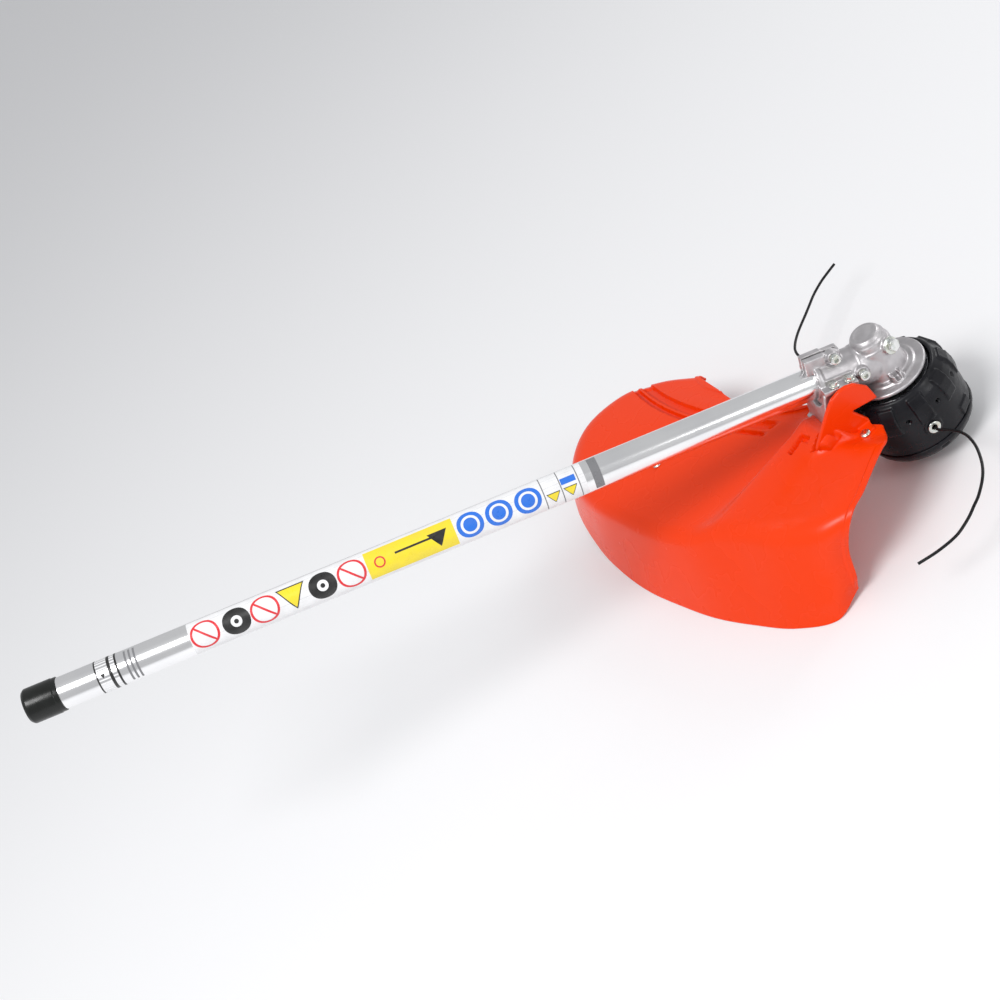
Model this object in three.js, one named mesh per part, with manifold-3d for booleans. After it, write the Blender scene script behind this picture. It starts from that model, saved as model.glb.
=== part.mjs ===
// Line-head attachment of a split-shaft brush cutter.
//
// Units are millimetres and +Z is up. The attachment stands on its bump knob and the rim of its guard,
// with the tube rising to the rear (-X). Everything is first placed about the gearcase centre, where
// the tube axis meets the upright output axis, and the whole group is then moved so that its origin
// is the centre of its footprint on the ground.

import * as THREE from 'three';
import * as BufferGeometryUtils from 'three/addons/utils/BufferGeometryUtils.js';
import Module from 'manifold-3d';

const wasm = await Module();
wasm.setup();

// ---- driving dimensions -------------------------------------------------------------------------

const LEAN = THREE.MathUtils.degToRad(18.5); // tube below the horizontal, towards the head
const GROUND = -95; // height of the ground below the gearcase centre
const GAP = 0.3; // clearance between neighbouring pieces

const TUBE_RADIUS = 12.7;
const TUBE_WALL = 1.5;
const TUBE_FRONT = -29.3; // along the tube axis, from the gearcase centre
const TUBE_REAR = -702;
const CAP_LENGTH = 28;
const CAP_RADIUS = 14;
const SHAFT_RADIUS = 3;
const BUSH_PLACES = [-620, -460, -300, -140];

const SLEEVE_RADIUS = 16.5;
const SLEEVE_MOUTH = -55;
const BOSS_TOP = 26;
const FLANGE_RADIUS = 32;
const FLANGE_TOP = -13.4;
const FLANGE_UNDERSIDE = -17;
const BEARING_BORE = 9.8;

const PINION_TEETH = 12;
const GEAR_TEETH = 16;
const SHAFT_ANGLE = Math.PI / 2 + LEAN; // between the pinion's cone axis and the gear's
const CONE_OUTER = 13.5;
const CONE_INNER = 9.5;

const HEAD_RADIUS = 46;
const EYELET_HEIGHT = -52;
const SPOOL_RADIUS = 38;
const KNOB_RADIUS = 24;
const LINE_RADIUS = 1.2;

const DECK_THICKNESS = 3;
const SHOULDER_REACH = 14; // how far the rounding of the guard's shoulder runs on to the deck
const SKIRT_REACH = 12; // and down the skirt
const DECK_SLOPE_START = 0.2; // share of the deck's width that stays level round the bracket
const BRACKET_FOOT = -23.4; // underside of the guard bracket
const DECK_TOP = BRACKET_FOOT - GAP;

// ---- materials ----------------------------------------------------------------------------------

function finish(color, roughness, metalness) {
  return () => new THREE.MeshStandardMaterial({ color, roughness, metalness });
}

const polishedAluminium = finish(0xd9dbdd, 0.25, 0.9);
const castAluminium = finish(0xb9b4b7, 0.55, 0.7);
const zincSteel = finish(0xc4ccc9, 0.3, 0.9);
const darkSteel = finish(0x6d7074, 0.4, 0.8);
const bearingSteel = finish(0xa9adb2, 0.3, 0.9);
const blackPlastic = finish(0x16161a, 0.5, 0);
const blackRubber = finish(0x222222, 0.8, 0);
const orangePlastic = finish(0xff4a17, 0.35, 0);
const greyNylon = finish(0x8f9296, 0.6, 0);
const lineNylon = finish(0x0d0d0f, 0.4, 0);

// ---- geometry helpers ---------------------------------------------------------------------------

// Merge shared corners, drop empty triangles and turn every face outwards.
function weld(geometry) {
  const bare = geometry.clone();
  for (const name of Object.keys(bare.attributes)) {
    if (name !== 'position') bare.deleteAttribute(name);
  }
  const merged = BufferGeometryUtils.mergeVertices(bare, 1e-4);
  const kept = [];
  const index = merged.index.array;
  for (let i = 0; i < index.length; i += 3) {
    const [a, b, c] = [index[i], index[i + 1], index[i + 2]];
    if (a !== b && b !== c && c !== a) kept.push(a, b, c);
  }
  if (signedVolume(merged.attributes.position, kept) < 0) kept.reverse();
  merged.clearGroups();
  merged.setIndex(kept);
  return merged;
}

function signedVolume(position, index) {
  const [a, b, c] = [new THREE.Vector3(), new THREE.Vector3(), new THREE.Vector3()];
  let sum = 0;
  for (let i = 0; i < index.length; i += 3) {
    a.fromBufferAttribute(position, index[i]);
    b.fromBufferAttribute(position, index[i + 1]);
    c.fromBufferAttribute(position, index[i + 2]);
    sum += a.dot(b.cross(c));
  }
  return sum / 6;
}

function solid(geometry) {
  const welded = weld(geometry);
  return new wasm.Manifold(new wasm.Mesh({
    numProp: 3,
    vertProperties: new Float32Array(welded.attributes.position.array),
    triVerts: new Uint32Array(welded.index.array),
  }));
}

function geometryOf(manifold) {
  const mesh = manifold.getMesh();
  const geometry = new THREE.BufferGeometry();
  geometry.setAttribute('position', new THREE.BufferAttribute(new Float32Array(mesh.vertProperties), 3));
  geometry.setIndex(Array.from(mesh.triVerts));
  return weld(geometry);
}

function joined(...geometries) {
  return geometryOf(geometries.map(solid).reduce((sum, next) => sum.add(next)));
}

function cut(geometry, ...tools) {
  return geometryOf(tools.map(solid).reduce((left, tool) => left.subtract(tool), solid(geometry)));
}

// A solid of revolution about Z. Each corner is [radius, height]; a profile that doesn't start and end
// on the axis is closed on itself.
function turned(corners, sides = 40) {
  const points = corners.map(([radius, height]) => new THREE.Vector2(radius, height));
  const [first, last] = [points[0], points[points.length - 1]];
  if (first.x !== 0 || last.x !== 0) points.push(first.clone());
  return weld(new THREE.LatheGeometry(points, sides).rotateX(Math.PI / 2));
}

function rod(radius, bottom, top, sides = 32) {
  return turned([[0, bottom], [radius, bottom], [radius, top], [0, top]], sides);
}

function ring(inner, outer, bottom, top, sides = 40) {
  return turned([[inner, bottom], [outer, bottom], [outer, top], [inner, top]], sides);
}

function block(x0, x1, y0, y1, z0, z1) {
  return new THREE.BoxGeometry(x1 - x0, y1 - y0, z1 - z0)
    .translate((x0 + x1) / 2, (y0 + y1) / 2, (z0 + z1) / 2);
}

function hexagon(acrossFlats, bottom, top) {
  return new THREE.CylinderGeometry(acrossFlats / Math.sqrt(3), acrossFlats / Math.sqrt(3), top - bottom, 6)
    .rotateX(Math.PI / 2)
    .translate(0, 0, (bottom + top) / 2);
}

// Turn a shape made about Z so that its +Z points along a direction, and put its origin at a place.
function aimed(geometry, direction, place = [0, 0, 0]) {
  const turn = new THREE.Quaternion()
    .setFromUnitVectors(new THREE.Vector3(0, 0, 1), new THREE.Vector3(...direction).normalize());
  return geometry.clone().applyQuaternion(turn).translate(...place);
}

const alongTube = (geometry) => aimed(geometry, [1, 0, 0]);
const leaned = (geometry) => geometry.clone().rotateY(LEAN);

// A closed skin from rings of points, each ring joined to the next and the last to the first.
function loftedRings(rings) {
  const count = rings[0].length;
  const positions = rings.flat(2);
  const index = [];
  for (let r = 0; r < rings.length; r += 1) {
    const next = (r + 1) % rings.length;
    for (let i = 0; i < count; i += 1) {
      const j = (i + 1) % count;
      index.push(r * count + i, next * count + i, next * count + j);
      index.push(r * count + i, next * count + j, r * count + j);
    }
  }
  const geometry = new THREE.BufferGeometry();
  geometry.setAttribute('position', new THREE.Float32BufferAttribute(positions, 3));
  geometry.setIndex(index);
  return weld(geometry);
}

// A closed skin through loops of points, with a flat strip cap over the first and the last loop.
function cappedLoft(loops) {
  const count = loops[0].length;
  const index = [];
  for (let r = 0; r < loops.length - 1; r += 1) {
    for (let i = 0; i < count; i += 1) {
      const j = (i + 1) % count;
      index.push(r * count + i, (r + 1) * count + i, (r + 1) * count + j);
      index.push(r * count + i, (r + 1) * count + j, r * count + j);
    }
  }
  const lastLoop = (loops.length - 1) * count;
  for (let i = 0; i < count / 2 - 1; i += 1) {
    const [a, b, c, d] = [i, i + 1, count - 2 - i, count - 1 - i];
    index.push(a, b, c, a, c, d);
    index.push(lastLoop + a, lastLoop + c, lastLoop + b, lastLoop + a, lastLoop + d, lastLoop + c);
  }
  const geometry = new THREE.BufferGeometry();
  geometry.setAttribute('position', new THREE.Float32BufferAttribute(loops.flat(2), 3));
  geometry.setIndex(index);
  return weld(geometry);
}

// A round bar along a smooth curve through the points.
function tubeAlong(points, radius, steps, sides) {
  const section = new THREE.Shape();
  for (let i = 0; i < sides; i += 1) {
    const turn = (i / sides) * 2 * Math.PI;
    const corner = [radius * Math.cos(turn), radius * Math.sin(turn)];
    if (i === 0) section.moveTo(...corner);
    else section.lineTo(...corner);
  }
  const extrudePath = new THREE.CatmullRomCurve3(points, false, 'centripetal');
  return new THREE.ExtrudeGeometry(section, { steps, extrudePath, bevelEnabled: false });
}

// A side view, drawn as [forward, up], thickened evenly to the left and the right.
function extrudedAcross(shape, half) {
  return new THREE.ExtrudeGeometry(shape, { depth: 2 * half, bevelEnabled: false })
    .translate(0, 0, -half)
    .rotateX(Math.PI / 2);
}

function piece(parent, name, geometry, makeMaterial) {
  const mesh = new THREE.Mesh(weld(geometry), makeMaterial());
  mesh.name = name;
  parent.add(mesh);
  return mesh;
}

// ---- groups -------------------------------------------------------------------------------------

const attachment = new THREE.Group();
const tubeLine = new THREE.Group(); // +X runs along the tube towards the head
tubeLine.rotation.y = LEAN;
const upright = new THREE.Group(); // +Z runs up the output axis
attachment.add(tubeLine, upright);

// ---- tube, end cap and drive shaft --------------------------------------------------------------

function mainTube() {
  return alongTube(ring(TUBE_RADIUS - TUBE_WALL, TUBE_RADIUS, TUBE_REAR, TUBE_FRONT, 32));
}

function tubeEndCap() {
  const end = TUBE_REAR - 3;
  const mouth = end + CAP_LENGTH;
  const bore = TUBE_RADIUS + GAP;
  return alongTube(turned([
    [0, end], [CAP_RADIUS - 3, end], [CAP_RADIUS - 0.8, end + 0.8], [CAP_RADIUS, end + 3],
    [CAP_RADIUS, mouth], [bore, mouth], [bore, TUBE_REAR - GAP], [0, TUBE_REAR - GAP],
  ], 32));
}

function driveShaft() {
  const front = -23;
  const squareEnd = 24;
  const squareHalf = 2.6;
  const round = alongTube(rod(SHAFT_RADIUS, TUBE_REAR + squareEnd, front, 16));
  const square = block(
    TUBE_REAR + 2, TUBE_REAR + squareEnd + 1, -squareHalf, squareHalf, -squareHalf, squareHalf);
  return joined(round, square);
}

function shaftBush(place) {
  const outer = TUBE_RADIUS - TUBE_WALL - GAP;
  const inner = SHAFT_RADIUS + GAP;
  const waist = outer - 3;
  return alongTube(turned([
    [inner, place - 20], [outer, place - 20], [outer, place - 12], [waist, place - 9],
    [waist, place + 9], [outer, place + 12], [outer, place + 20], [inner, place + 20],
  ], 16));
}

piece(tubeLine, 'main_tube', mainTube(), polishedAluminium);
piece(tubeLine, 'tube_end_cap', tubeEndCap(), blackPlastic);
piece(tubeLine, 'drive_shaft', driveShaft(), darkSteel);
BUSH_PLACES.forEach((place, i) => {
  piece(tubeLine, `shaft_bush_${i + 1}`, shaftBush(place), blackRubber);
});

// ---- gearcase housing ---------------------------------------------------------------------------

const CLAMP_SCREW = { x: -38, z: 20.5, reach: 9 };
const LOCK_SCREW = { x: -21, z: 3.5, seat: -18.5 };
const PLUG = { place: [6, -9, 12], direction: [0.5, -0.84, 0.2], reach: 8 };
const GUARD_FLANGE = { rear: -56, front: -27.5, half: 25, bottom: 0, top: 4 };
const GUARD_BOLTS = [[-46, -20.8], [-46, 20.8], [-33, -20.8], [-33, 20.8]];
const BOLT_HOLE = 2.4;

function sleeveBody() {
  const tube = alongTube(turned([
    [0, SLEEVE_MOUTH], [SLEEVE_RADIUS + 1.8, SLEEVE_MOUTH], [SLEEVE_RADIUS + 1.8, SLEEVE_MOUTH + 3],
    [SLEEVE_RADIUS, SLEEVE_MOUTH + 5], [SLEEVE_RADIUS, -21], [SLEEVE_RADIUS + 0.8, -20],
    [SLEEVE_RADIUS + 0.3, -4], [13, 3], [0, 7],
  ], 28));
  const ears = block(SLEEVE_MOUTH - 6, -31, -7, 7, 8, 25);
  const clampBoss = aimed(rod(5, 0, CLAMP_SCREW.reach, 16), [0, -1, 0], [CLAMP_SCREW.x, 0, CLAMP_SCREW.z]);
  const lockBoss = aimed(rod(5.4, 0, -LOCK_SCREW.seat, 16), [0, -1, 0], [LOCK_SCREW.x, 0, LOCK_SCREW.z]);
  const flange = block(
    GUARD_FLANGE.rear, GUARD_FLANGE.front, -GUARD_FLANGE.half, GUARD_FLANGE.half,
    GUARD_FLANGE.bottom, GUARD_FLANGE.top);
  return joined(tube, ears, clampBoss, lockBoss, flange);
}

function sleeveHollow() {
  const bore = alongTube(joined(
    rod(TUBE_RADIUS + GAP, SLEEVE_MOUTH - 9, TUBE_FRONT + GAP, 28),
    rod(BEARING_BORE, TUBE_FRONT - 2, -16.2, 20),
    rod(CONE_OUTER * 0.79, -17, -2, 20)));
  const slit = block(SLEEVE_MOUTH - 9, -33, -1, 1, 5, 30);
  const clampHole = aimed(rod(BOLT_HOLE, -20, 20, 12), [0, -1, 0], [CLAMP_SCREW.x, 0, CLAMP_SCREW.z]);
  const lockHole = aimed(rod(BOLT_HOLE, 8, 30, 12), [0, -1, 0], [LOCK_SCREW.x, 0, LOCK_SCREW.z]);
  const boltHoles = GUARD_BOLTS.map(([x, y]) => rod(BOLT_HOLE + GAP, -5, 9, 12).translate(x, y, 0));
  return joined(bore, slit, clampHole, lockHole, ...boltHoles);
}

function uprightBody() {
  const trunk = turned([
    [0, FLANGE_TOP], [18, FLANGE_TOP], [17, 2], [16, 8], [16, 15], [13.6, 16], [13.6, 21],
    [12.6, 22], [12.6, BOSS_TOP - 2.5], [9, BOSS_TOP], [0, BOSS_TOP],
  ], 24);
  const disc = turned([
    [0, -20.8], [14.5, -20.8], [14.5, FLANGE_UNDERSIDE], [FLANGE_RADIUS, FLANGE_UNDERSIDE],
    [FLANGE_RADIUS, FLANGE_TOP], [23.5, FLANGE_TOP], [22.5, FLANGE_TOP + 1.4], [0, FLANGE_TOP + 1.4],
  ], 32);
  return joined(trunk, disc);
}

// The boss with a slot where a pin locks the output shaft while the head is changed.
const LOCK_SLOT = { angle: THREE.MathUtils.degToRad(-88), radius: 20.5 };

function lockBoss() {
  const boss = rod(4.6, FLANGE_TOP - 1, FLANGE_TOP + 7, 16).translate(LOCK_SLOT.radius, 0, 0);
  const rib = block(10, LOCK_SLOT.radius, -3.2, 3.2, FLANGE_TOP - 1, FLANGE_TOP + 5.5);
  return joined(boss, rib).rotateZ(LOCK_SLOT.angle);
}

function lockBossSlot() {
  return block(LOCK_SLOT.radius - 1.6, LOCK_SLOT.radius + 6, -1.6, 1.6, FLANGE_TOP + 2, FLANGE_TOP + 9)
    .rotateZ(LOCK_SLOT.angle);
}

function plugBoss() {
  return aimed(rod(6.5, -4, PLUG.reach, 16), PLUG.direction, PLUG.place);
}

function uprightHollow() {
  return joined(
    rod(8.5, -2, 18.7, 20),
    rod(14, -10.1, -1, 20),
    rod(11.4, -21.5, -9.9, 20));
}

function gearcaseHousing() {
  const outside = joined(leaned(sleeveBody()), uprightBody(), lockBoss(), plugBoss());
  const plugHole = aimed(rod(3.2, 1, 20, 12), PLUG.direction, PLUG.place);
  return cut(outside, leaned(sleeveHollow()), uprightHollow(), lockBossSlot(), plugHole);
}

piece(upright, 'gearcase_housing', gearcaseHousing(), castAluminium);

// ---- screws and bolts ---------------------------------------------------------------------------

// A screw along +Z with its seat at 0, its head above and its shank below.
function hexFlangeBolt(acrossFlats, headHeight, shankRadius, shankLength) {
  const flange = turned([
    [0, 0], [acrossFlats * 0.78, 0], [acrossFlats * 0.78, 0.8], [acrossFlats * 0.6, 1.6], [0, 1.6]], 16);
  return joined(flange, hexagon(acrossFlats, 0, headHeight), rod(shankRadius, -shankLength, 0.5, 12));
}

function socketScrew(headRadius, headHeight, shankRadius, shankLength) {
  const head = rod(headRadius, 0, headHeight, 16);
  const shank = rod(shankRadius, -shankLength, 0.5, 12);
  return cut(joined(head, shank), hexagon(headRadius, headHeight * 0.4, headHeight + 1));
}

function panScrew(headRadius, headHeight, shankLength) {
  return turned([
    [0, -shankLength], [BOLT_HOLE - GAP, -shankLength], [BOLT_HOLE - GAP, 0], [headRadius, 0],
    [headRadius, headHeight * 0.4], [headRadius * 0.6, headHeight], [0, headHeight]], 12);
}

piece(tubeLine, 'clamp_screw', aimed(
  socketScrew(4, 4.4, BOLT_HOLE - GAP, 15), [0, -1, 0],
  [CLAMP_SCREW.x, -CLAMP_SCREW.reach - GAP, CLAMP_SCREW.z]), zincSteel);
piece(tubeLine, 'bearing_lock_screw', aimed(
  socketScrew(4.2, 4.6, BOLT_HOLE - GAP, 7.2), [0, -1, 0],
  [LOCK_SCREW.x, LOCK_SCREW.seat - GAP, LOCK_SCREW.z]), zincSteel);

function greasePlug() {
  const outward = new THREE.Vector3(...PLUG.direction).normalize().multiplyScalar(PLUG.reach + GAP);
  const seat = outward.add(new THREE.Vector3(...PLUG.place)).toArray();
  return aimed(hexFlangeBolt(8, 5, 2.9, 6), PLUG.direction, seat);
}

piece(upright, 'grease_plug', greasePlug(), zincSteel);

// ---- input pinion and its bearings --------------------------------------------------------------

// A straight bevel gear with its cone apex at the origin and its back towards +Z. With evenly set
// teeth, a tooth is centred on +X.
function bevelGear(teeth, coneAngle, back, boreRadius) {
  const addendum = 0.05;
  const dedendum = 0.085;
  const pitch = (2 * Math.PI) / teeth;
  const [rootHalf, tipHalf] = [0.235 * pitch, 0.1 * pitch]; // half widths of a tooth at its root and its tip
  const corners = [];
  for (let i = 0; i < teeth; i += 1) {
    const centre = i * pitch;
    corners.push([centre - rootHalf, false], [centre - tipHalf, true]);
    corners.push([centre + tipHalf, true], [centre + rootHalf, false]);
  }
  const toothRing = (distance) => corners.map(([turn, tip]) => {
    const angle = coneAngle + (tip ? addendum : -dedendum);
    const radius = distance * Math.sin(angle);
    return [radius * Math.cos(turn), radius * Math.sin(turn), distance * Math.cos(angle)];
  });
  const plainRing = (radius, height) => corners.map(([turn]) => (
    [radius * Math.cos(turn), radius * Math.sin(turn), height]));
  const front = CONE_INNER * Math.cos(coneAngle) + 0.3;
  const hub = CONE_OUTER * Math.sin(coneAngle) * 0.72;
  return loftedRings([
    plainRing(boreRadius, front), toothRing(CONE_INNER), toothRing(CONE_OUTER),
    plainRing(hub, back), plainRing(boreRadius, back)]);
}

const RATIO = GEAR_TEETH / PINION_TEETH;
const PINION_CONE = Math.atan2(Math.sin(SHAFT_ANGLE), RATIO + Math.cos(SHAFT_ANGLE));
const GEAR_CONE = SHAFT_ANGLE - PINION_CONE;

function inputPinion() {
  const teeth = bevelGear(PINION_TEETH, PINION_CONE, 15.8, 2);
  const stem = rod(4.7, 8.5, 34, 20);
  const socket = rod(SHAFT_RADIUS + GAP, 22.7, 35, 12);
  const core = rod(2.5, 7.3, 15, 24);
  return cut(joined(teeth, stem, core), socket).rotateY(-Math.PI / 2);
}

piece(tubeLine, 'input_pinion', inputPinion(), darkSteel);

// A shielded ball bearing about Z.
function ballBearing(inner, outer, bottom, top, sides = 20) {
  const recess = 0.5;
  const [race, cage] = [inner + (outer - inner) * 0.25, inner + (outer - inner) * 0.75];
  return turned([
    [inner, bottom], [outer, bottom], [outer, top], [cage, top], [cage, top - recess],
    [race, top - recess], [race, top], [inner, top]], sides);
}

function snapRing(inner, outer, bottom, top) {
  const gap = block(0, outer + 1, -1.2, 1.2, bottom - 1, top + 1);
  return cut(ring(inner, outer, bottom, top, 20), gap);
}

const pinionBearingOuter = BEARING_BORE - GAP;
piece(tubeLine, 'pinion_bearing_front',
  alongTube(ballBearing(5, pinionBearingOuter, -21.6, -16.6)), bearingSteel);
piece(tubeLine, 'pinion_bearing_rear',
  alongTube(ballBearing(5, pinionBearingOuter, -27, -22)), bearingSteel);
piece(tubeLine, 'pinion_snap_ring',
  alongTube(snapRing(7.4, pinionBearingOuter, -28.5, -27.3)), darkSteel);

// ---- output shaft, gear and bearings ------------------------------------------------------------

const OUTPUT_RADIUS = 4;

function outputShaft() {
  return turned([
    [0, -44], [OUTPUT_RADIUS - 0.6, -44], [OUTPUT_RADIUS, -43], [OUTPUT_RADIUS, 18], [0, 18]], 20);
}

function outputGear() {
  const toothSpace = Math.PI / GEAR_TEETH;
  return bevelGear(GEAR_TEETH, GEAR_CONE, 9.8, OUTPUT_RADIUS + GAP)
    .rotateZ(toothSpace)
    .rotateX(Math.PI);
}

piece(upright, 'output_shaft', outputShaft(), darkSteel);
piece(upright, 'output_gear', outputGear(), darkSteel);
piece(upright, 'output_bearing_upper', ballBearing(OUTPUT_RADIUS + GAP, 8.1, 13.4, 18.2), bearingSteel);
piece(upright, 'output_bearing_lower', ballBearing(OUTPUT_RADIUS + GAP, 11, -17.2, -10.3), bearingSteel);
piece(upright, 'output_oil_seal', turned([
  [OUTPUT_RADIUS + GAP, -20.6], [11, -20.6], [11, -17.6], [6, -17.6], [5.4, -19],
  [OUTPUT_RADIUS + GAP, -19]], 20), blackRubber);

// ---- line head ----------------------------------------------------------------------------------

const HEAD_RIM = { radius: 45, height: -69.7 };
const HEAD_OUTLINE = [
  [34, -18.6], [36, -18.6], [38.5, -21], [42, -27], [44.8, -34], [HEAD_RADIUS, -42],
  [HEAD_RADIUS, -60], [HEAD_RIM.radius, HEAD_RIM.height]];
const HEAD_WALL = 2.6;

function adapterPlate() {
  return turned([
    [OUTPUT_RADIUS + GAP, -24.6], [30, -24.6], [31, -23.6], [31, -21.2],
    [OUTPUT_RADIUS + GAP, -21.2]], 32);
}

function headHousing() {
  const inside = [
    [HEAD_RIM.radius - HEAD_WALL, HEAD_RIM.height],
    [HEAD_RADIUS - HEAD_WALL, -60], [HEAD_RADIUS - HEAD_WALL, -42],
    [39, -28.2], [OUTPUT_RADIUS + 1, -28.2], [OUTPUT_RADIUS + 1, -25], [34, -25]];
  const shell = turned([...HEAD_OUTLINE, ...inside], 36);
  const holes = [1, -1].map((side) => (
    aimed(rod(3.9, HEAD_RADIUS - 8, HEAD_RADIUS + 5, 12), [0, side, 0], [0, 0, EYELET_HEIGHT])));
  return cut(shell, ...holes);
}

function headCover() {
  const spigot = HEAD_RIM.radius - HEAD_WALL - 0.4;
  const plate = turned([
    [spigot, -67], [spigot, -70], [HEAD_RIM.radius, -70], [44, -76], [41, -80.5],
    [19.2, -80.5], [19.2, -77.8], [39.6, -77.8], [40, -67]], 36);
  const notches = [];
  const count = 6;
  for (let i = 0; i < count; i += 1) {
    notches.push(block(42.6, 50, -4, 4, -90, -74).rotateZ(((i + 0.5) * 2 * Math.PI) / count));
  }
  return cut(plate, ...notches);
}

function eyelet(side) {
  const body = turned([
    [2.2, HEAD_RADIUS - 3.6], [3.6, HEAD_RADIUS - 3.6], [3.6, HEAD_RADIUS + 0.3],
    [5.2, HEAD_RADIUS + 0.4], [5.2, HEAD_RADIUS + 1], [4.6, HEAD_RADIUS + 1.6],
    [3, HEAD_RADIUS + 1.6], [2.2, HEAD_RADIUS + 0.8]], 12);
  return aimed(body, [0, side, 0], [0, 0, EYELET_HEIGHT]);
}

function arborNut() {
  return cut(hexagon(16, -35, -28.5), rod(OUTPUT_RADIUS + GAP, -40, -20, 24));
}

function spool() {
  return turned([
    [13.3, -38], [SPOOL_RADIUS, -38], [SPOOL_RADIUS, -40], [15.6, -40], [15.6, -64],
    [SPOOL_RADIUS, -64], [SPOOL_RADIUS, -66.5], [9, -66.5], [9, -62], [13.3, -62]], 32);
}

function lineWinding() {
  return turned([[16, -63.6], [31, -63.6], [33, -58], [33, -46], [31, -40.4], [16, -40.4]], 32);
}

function bumpSpring() {
  const [coilRadius, wireRadius, turns, bottom, top] = [11.7, 0.7, 5, -60.8, -29.2];
  const points = [];
  const perTurn = 12;
  for (let i = 0; i <= turns * perTurn; i += 1) {
    const turn = (i / perTurn) * 2 * Math.PI;
    const height = THREE.MathUtils.lerp(bottom, top, i / (turns * perTurn));
    points.push(new THREE.Vector3(coilRadius * Math.cos(turn), coilRadius * Math.sin(turn), height));
  }
  return tubeAlong(points, wireRadius, turns * perTurn, 5);
}

function bumpKnob() {
  return turned([
    [0, GROUND], [KNOB_RADIUS - 5, GROUND], [KNOB_RADIUS, GROUND + 4], [KNOB_RADIUS, GROUND + 8],
    [18.4, GROUND + 9], [18.4, -66.9], [8.6, -66.9], [8.6, -62.3], [0, -62.3]], 32);
}

piece(upright, 'adapter_plate', adapterPlate(), zincSteel);
piece(upright, 'head_housing', headHousing(), blackPlastic);
piece(upright, 'head_cover', headCover(), blackPlastic);
piece(upright, 'eyelet_right', eyelet(-1), zincSteel);
piece(upright, 'eyelet_left', eyelet(1), zincSteel);
piece(upright, 'arbor_nut', arborNut(), zincSteel);
piece(upright, 'line_spool', spool(), greyNylon);
piece(upright, 'line_winding', lineWinding(), lineNylon);
piece(upright, 'bump_spring', bumpSpring(), bearingSteel);
piece(upright, 'bump_knob', bumpKnob(), blackPlastic);

// ---- cutting lines ------------------------------------------------------------------------------

const LINE_START = HEAD_RADIUS + 1.6 + GAP;

// The routes, seen from above: [forward, left] from the output axis, at the height of the eyelets.
const RIGHT_ROUTE = [
  [0, -LINE_START], [1, -52], [6, -59], [11, -68], [13, -77], [13, -85], [12, -93], [10, -101],
  [7, -110], [3, -118.5], [-2, -126], [-8, -133], [-13, -138], [-19, -142.5], [-26, -148],
  [-33.5, -152.5], [-41, -156], [-48.5, -157.5], [-61.5, -158], [-76.5, -156.5]];
const LEFT_ROUTE = [
  [0, LINE_START], [-1, 54], [-6, 65], [-14, 78], [-22, 90], [-29, 102], [-35, 114], [-39, 125],
  [-41, 135], [-40, 144], [-36, 152], [-29, 161], [-22, 168], [-14.4, 175], [-5, 184], [3.2, 192],
  [11, 198], [18.8, 203], [27, 207], [35.8, 211]];

function cuttingLine(route) {
  const points = route.map(([forward, left]) => new THREE.Vector3(forward, left, EYELET_HEIGHT));
  const length = new THREE.CatmullRomCurve3(points, false, 'centripetal').getLength();
  return tubeAlong(points, LINE_RADIUS, Math.round(length / (3 * 2 * LINE_RADIUS)), 8);
}

piece(upright, 'cutting_line_right', cuttingLine(RIGHT_ROUTE), lineNylon);
piece(upright, 'cutting_line_left', cuttingLine(LEFT_ROUTE), lineNylon);

// ---- guard --------------------------------------------------------------------------------------

// Stations round the guard, from its right edge to its left edge. Each is [rearward, left, height] at
// the inner edge, the shoulder where the deck turns down, and the rim.
const GUARD_STATIONS = [
  { inner: [33, -38, DECK_TOP], shoulder: [103, -93, -27], rim: [121, -102, -88] },
  { inner: [38, -31, DECK_TOP], shoulder: [122, -86, -25], rim: [148, -110, GROUND] },
  { inner: [44, -22, DECK_TOP], shoulder: [146, -66, -25], rim: [178, -90, GROUND] },
  { inner: [48, -12, DECK_TOP], shoulder: [168, -36, -25], rim: [204, -58, GROUND] },
  { inner: [49.5, -4, DECK_TOP], shoulder: [187, -12, -27], rim: [227, -24, GROUND] },
  { inner: [49.5, 3, DECK_TOP], shoulder: [206, 8, -33], rim: [246, 14, GROUND] },
  { inner: [49, 8, DECK_TOP], shoulder: [226, 42, -35], rim: [263, 54, GROUND] },
  { inner: [49, 13, DECK_TOP], shoulder: [244, 84, -35], rim: [275, 98, GROUND] },
  { inner: [50, 18, DECK_TOP], shoulder: [258, 124, -35], rim: [281, 138, -90] },
  { inner: [54, 24, DECK_TOP], shoulder: [262, 164, -35], rim: [278, 178, -72] },
  { inner: [62, 30, DECK_TOP], shoulder: [250, 200, -35], rim: [260, 212, -55] },
  { inner: [76, 40, DECK_TOP], shoulder: [224, 225, -35], rim: [229, 235, -47] },
  { inner: [92, 58, DECK_TOP - 1], shoulder: [184, 228, -35], rim: [183, 236, -45] },
  { inner: [104, 85, DECK_TOP - 3], shoulder: [150, 208, -35], rim: [146, 213, -44] },
  { inner: [111, 122, DECK_TOP - 5], shoulder: [120, 176, -34], rim: [115, 178, -42] },
];

const asPoint = ([rearward, left, height]) => new THREE.Vector3(-rearward, left, height);

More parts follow.
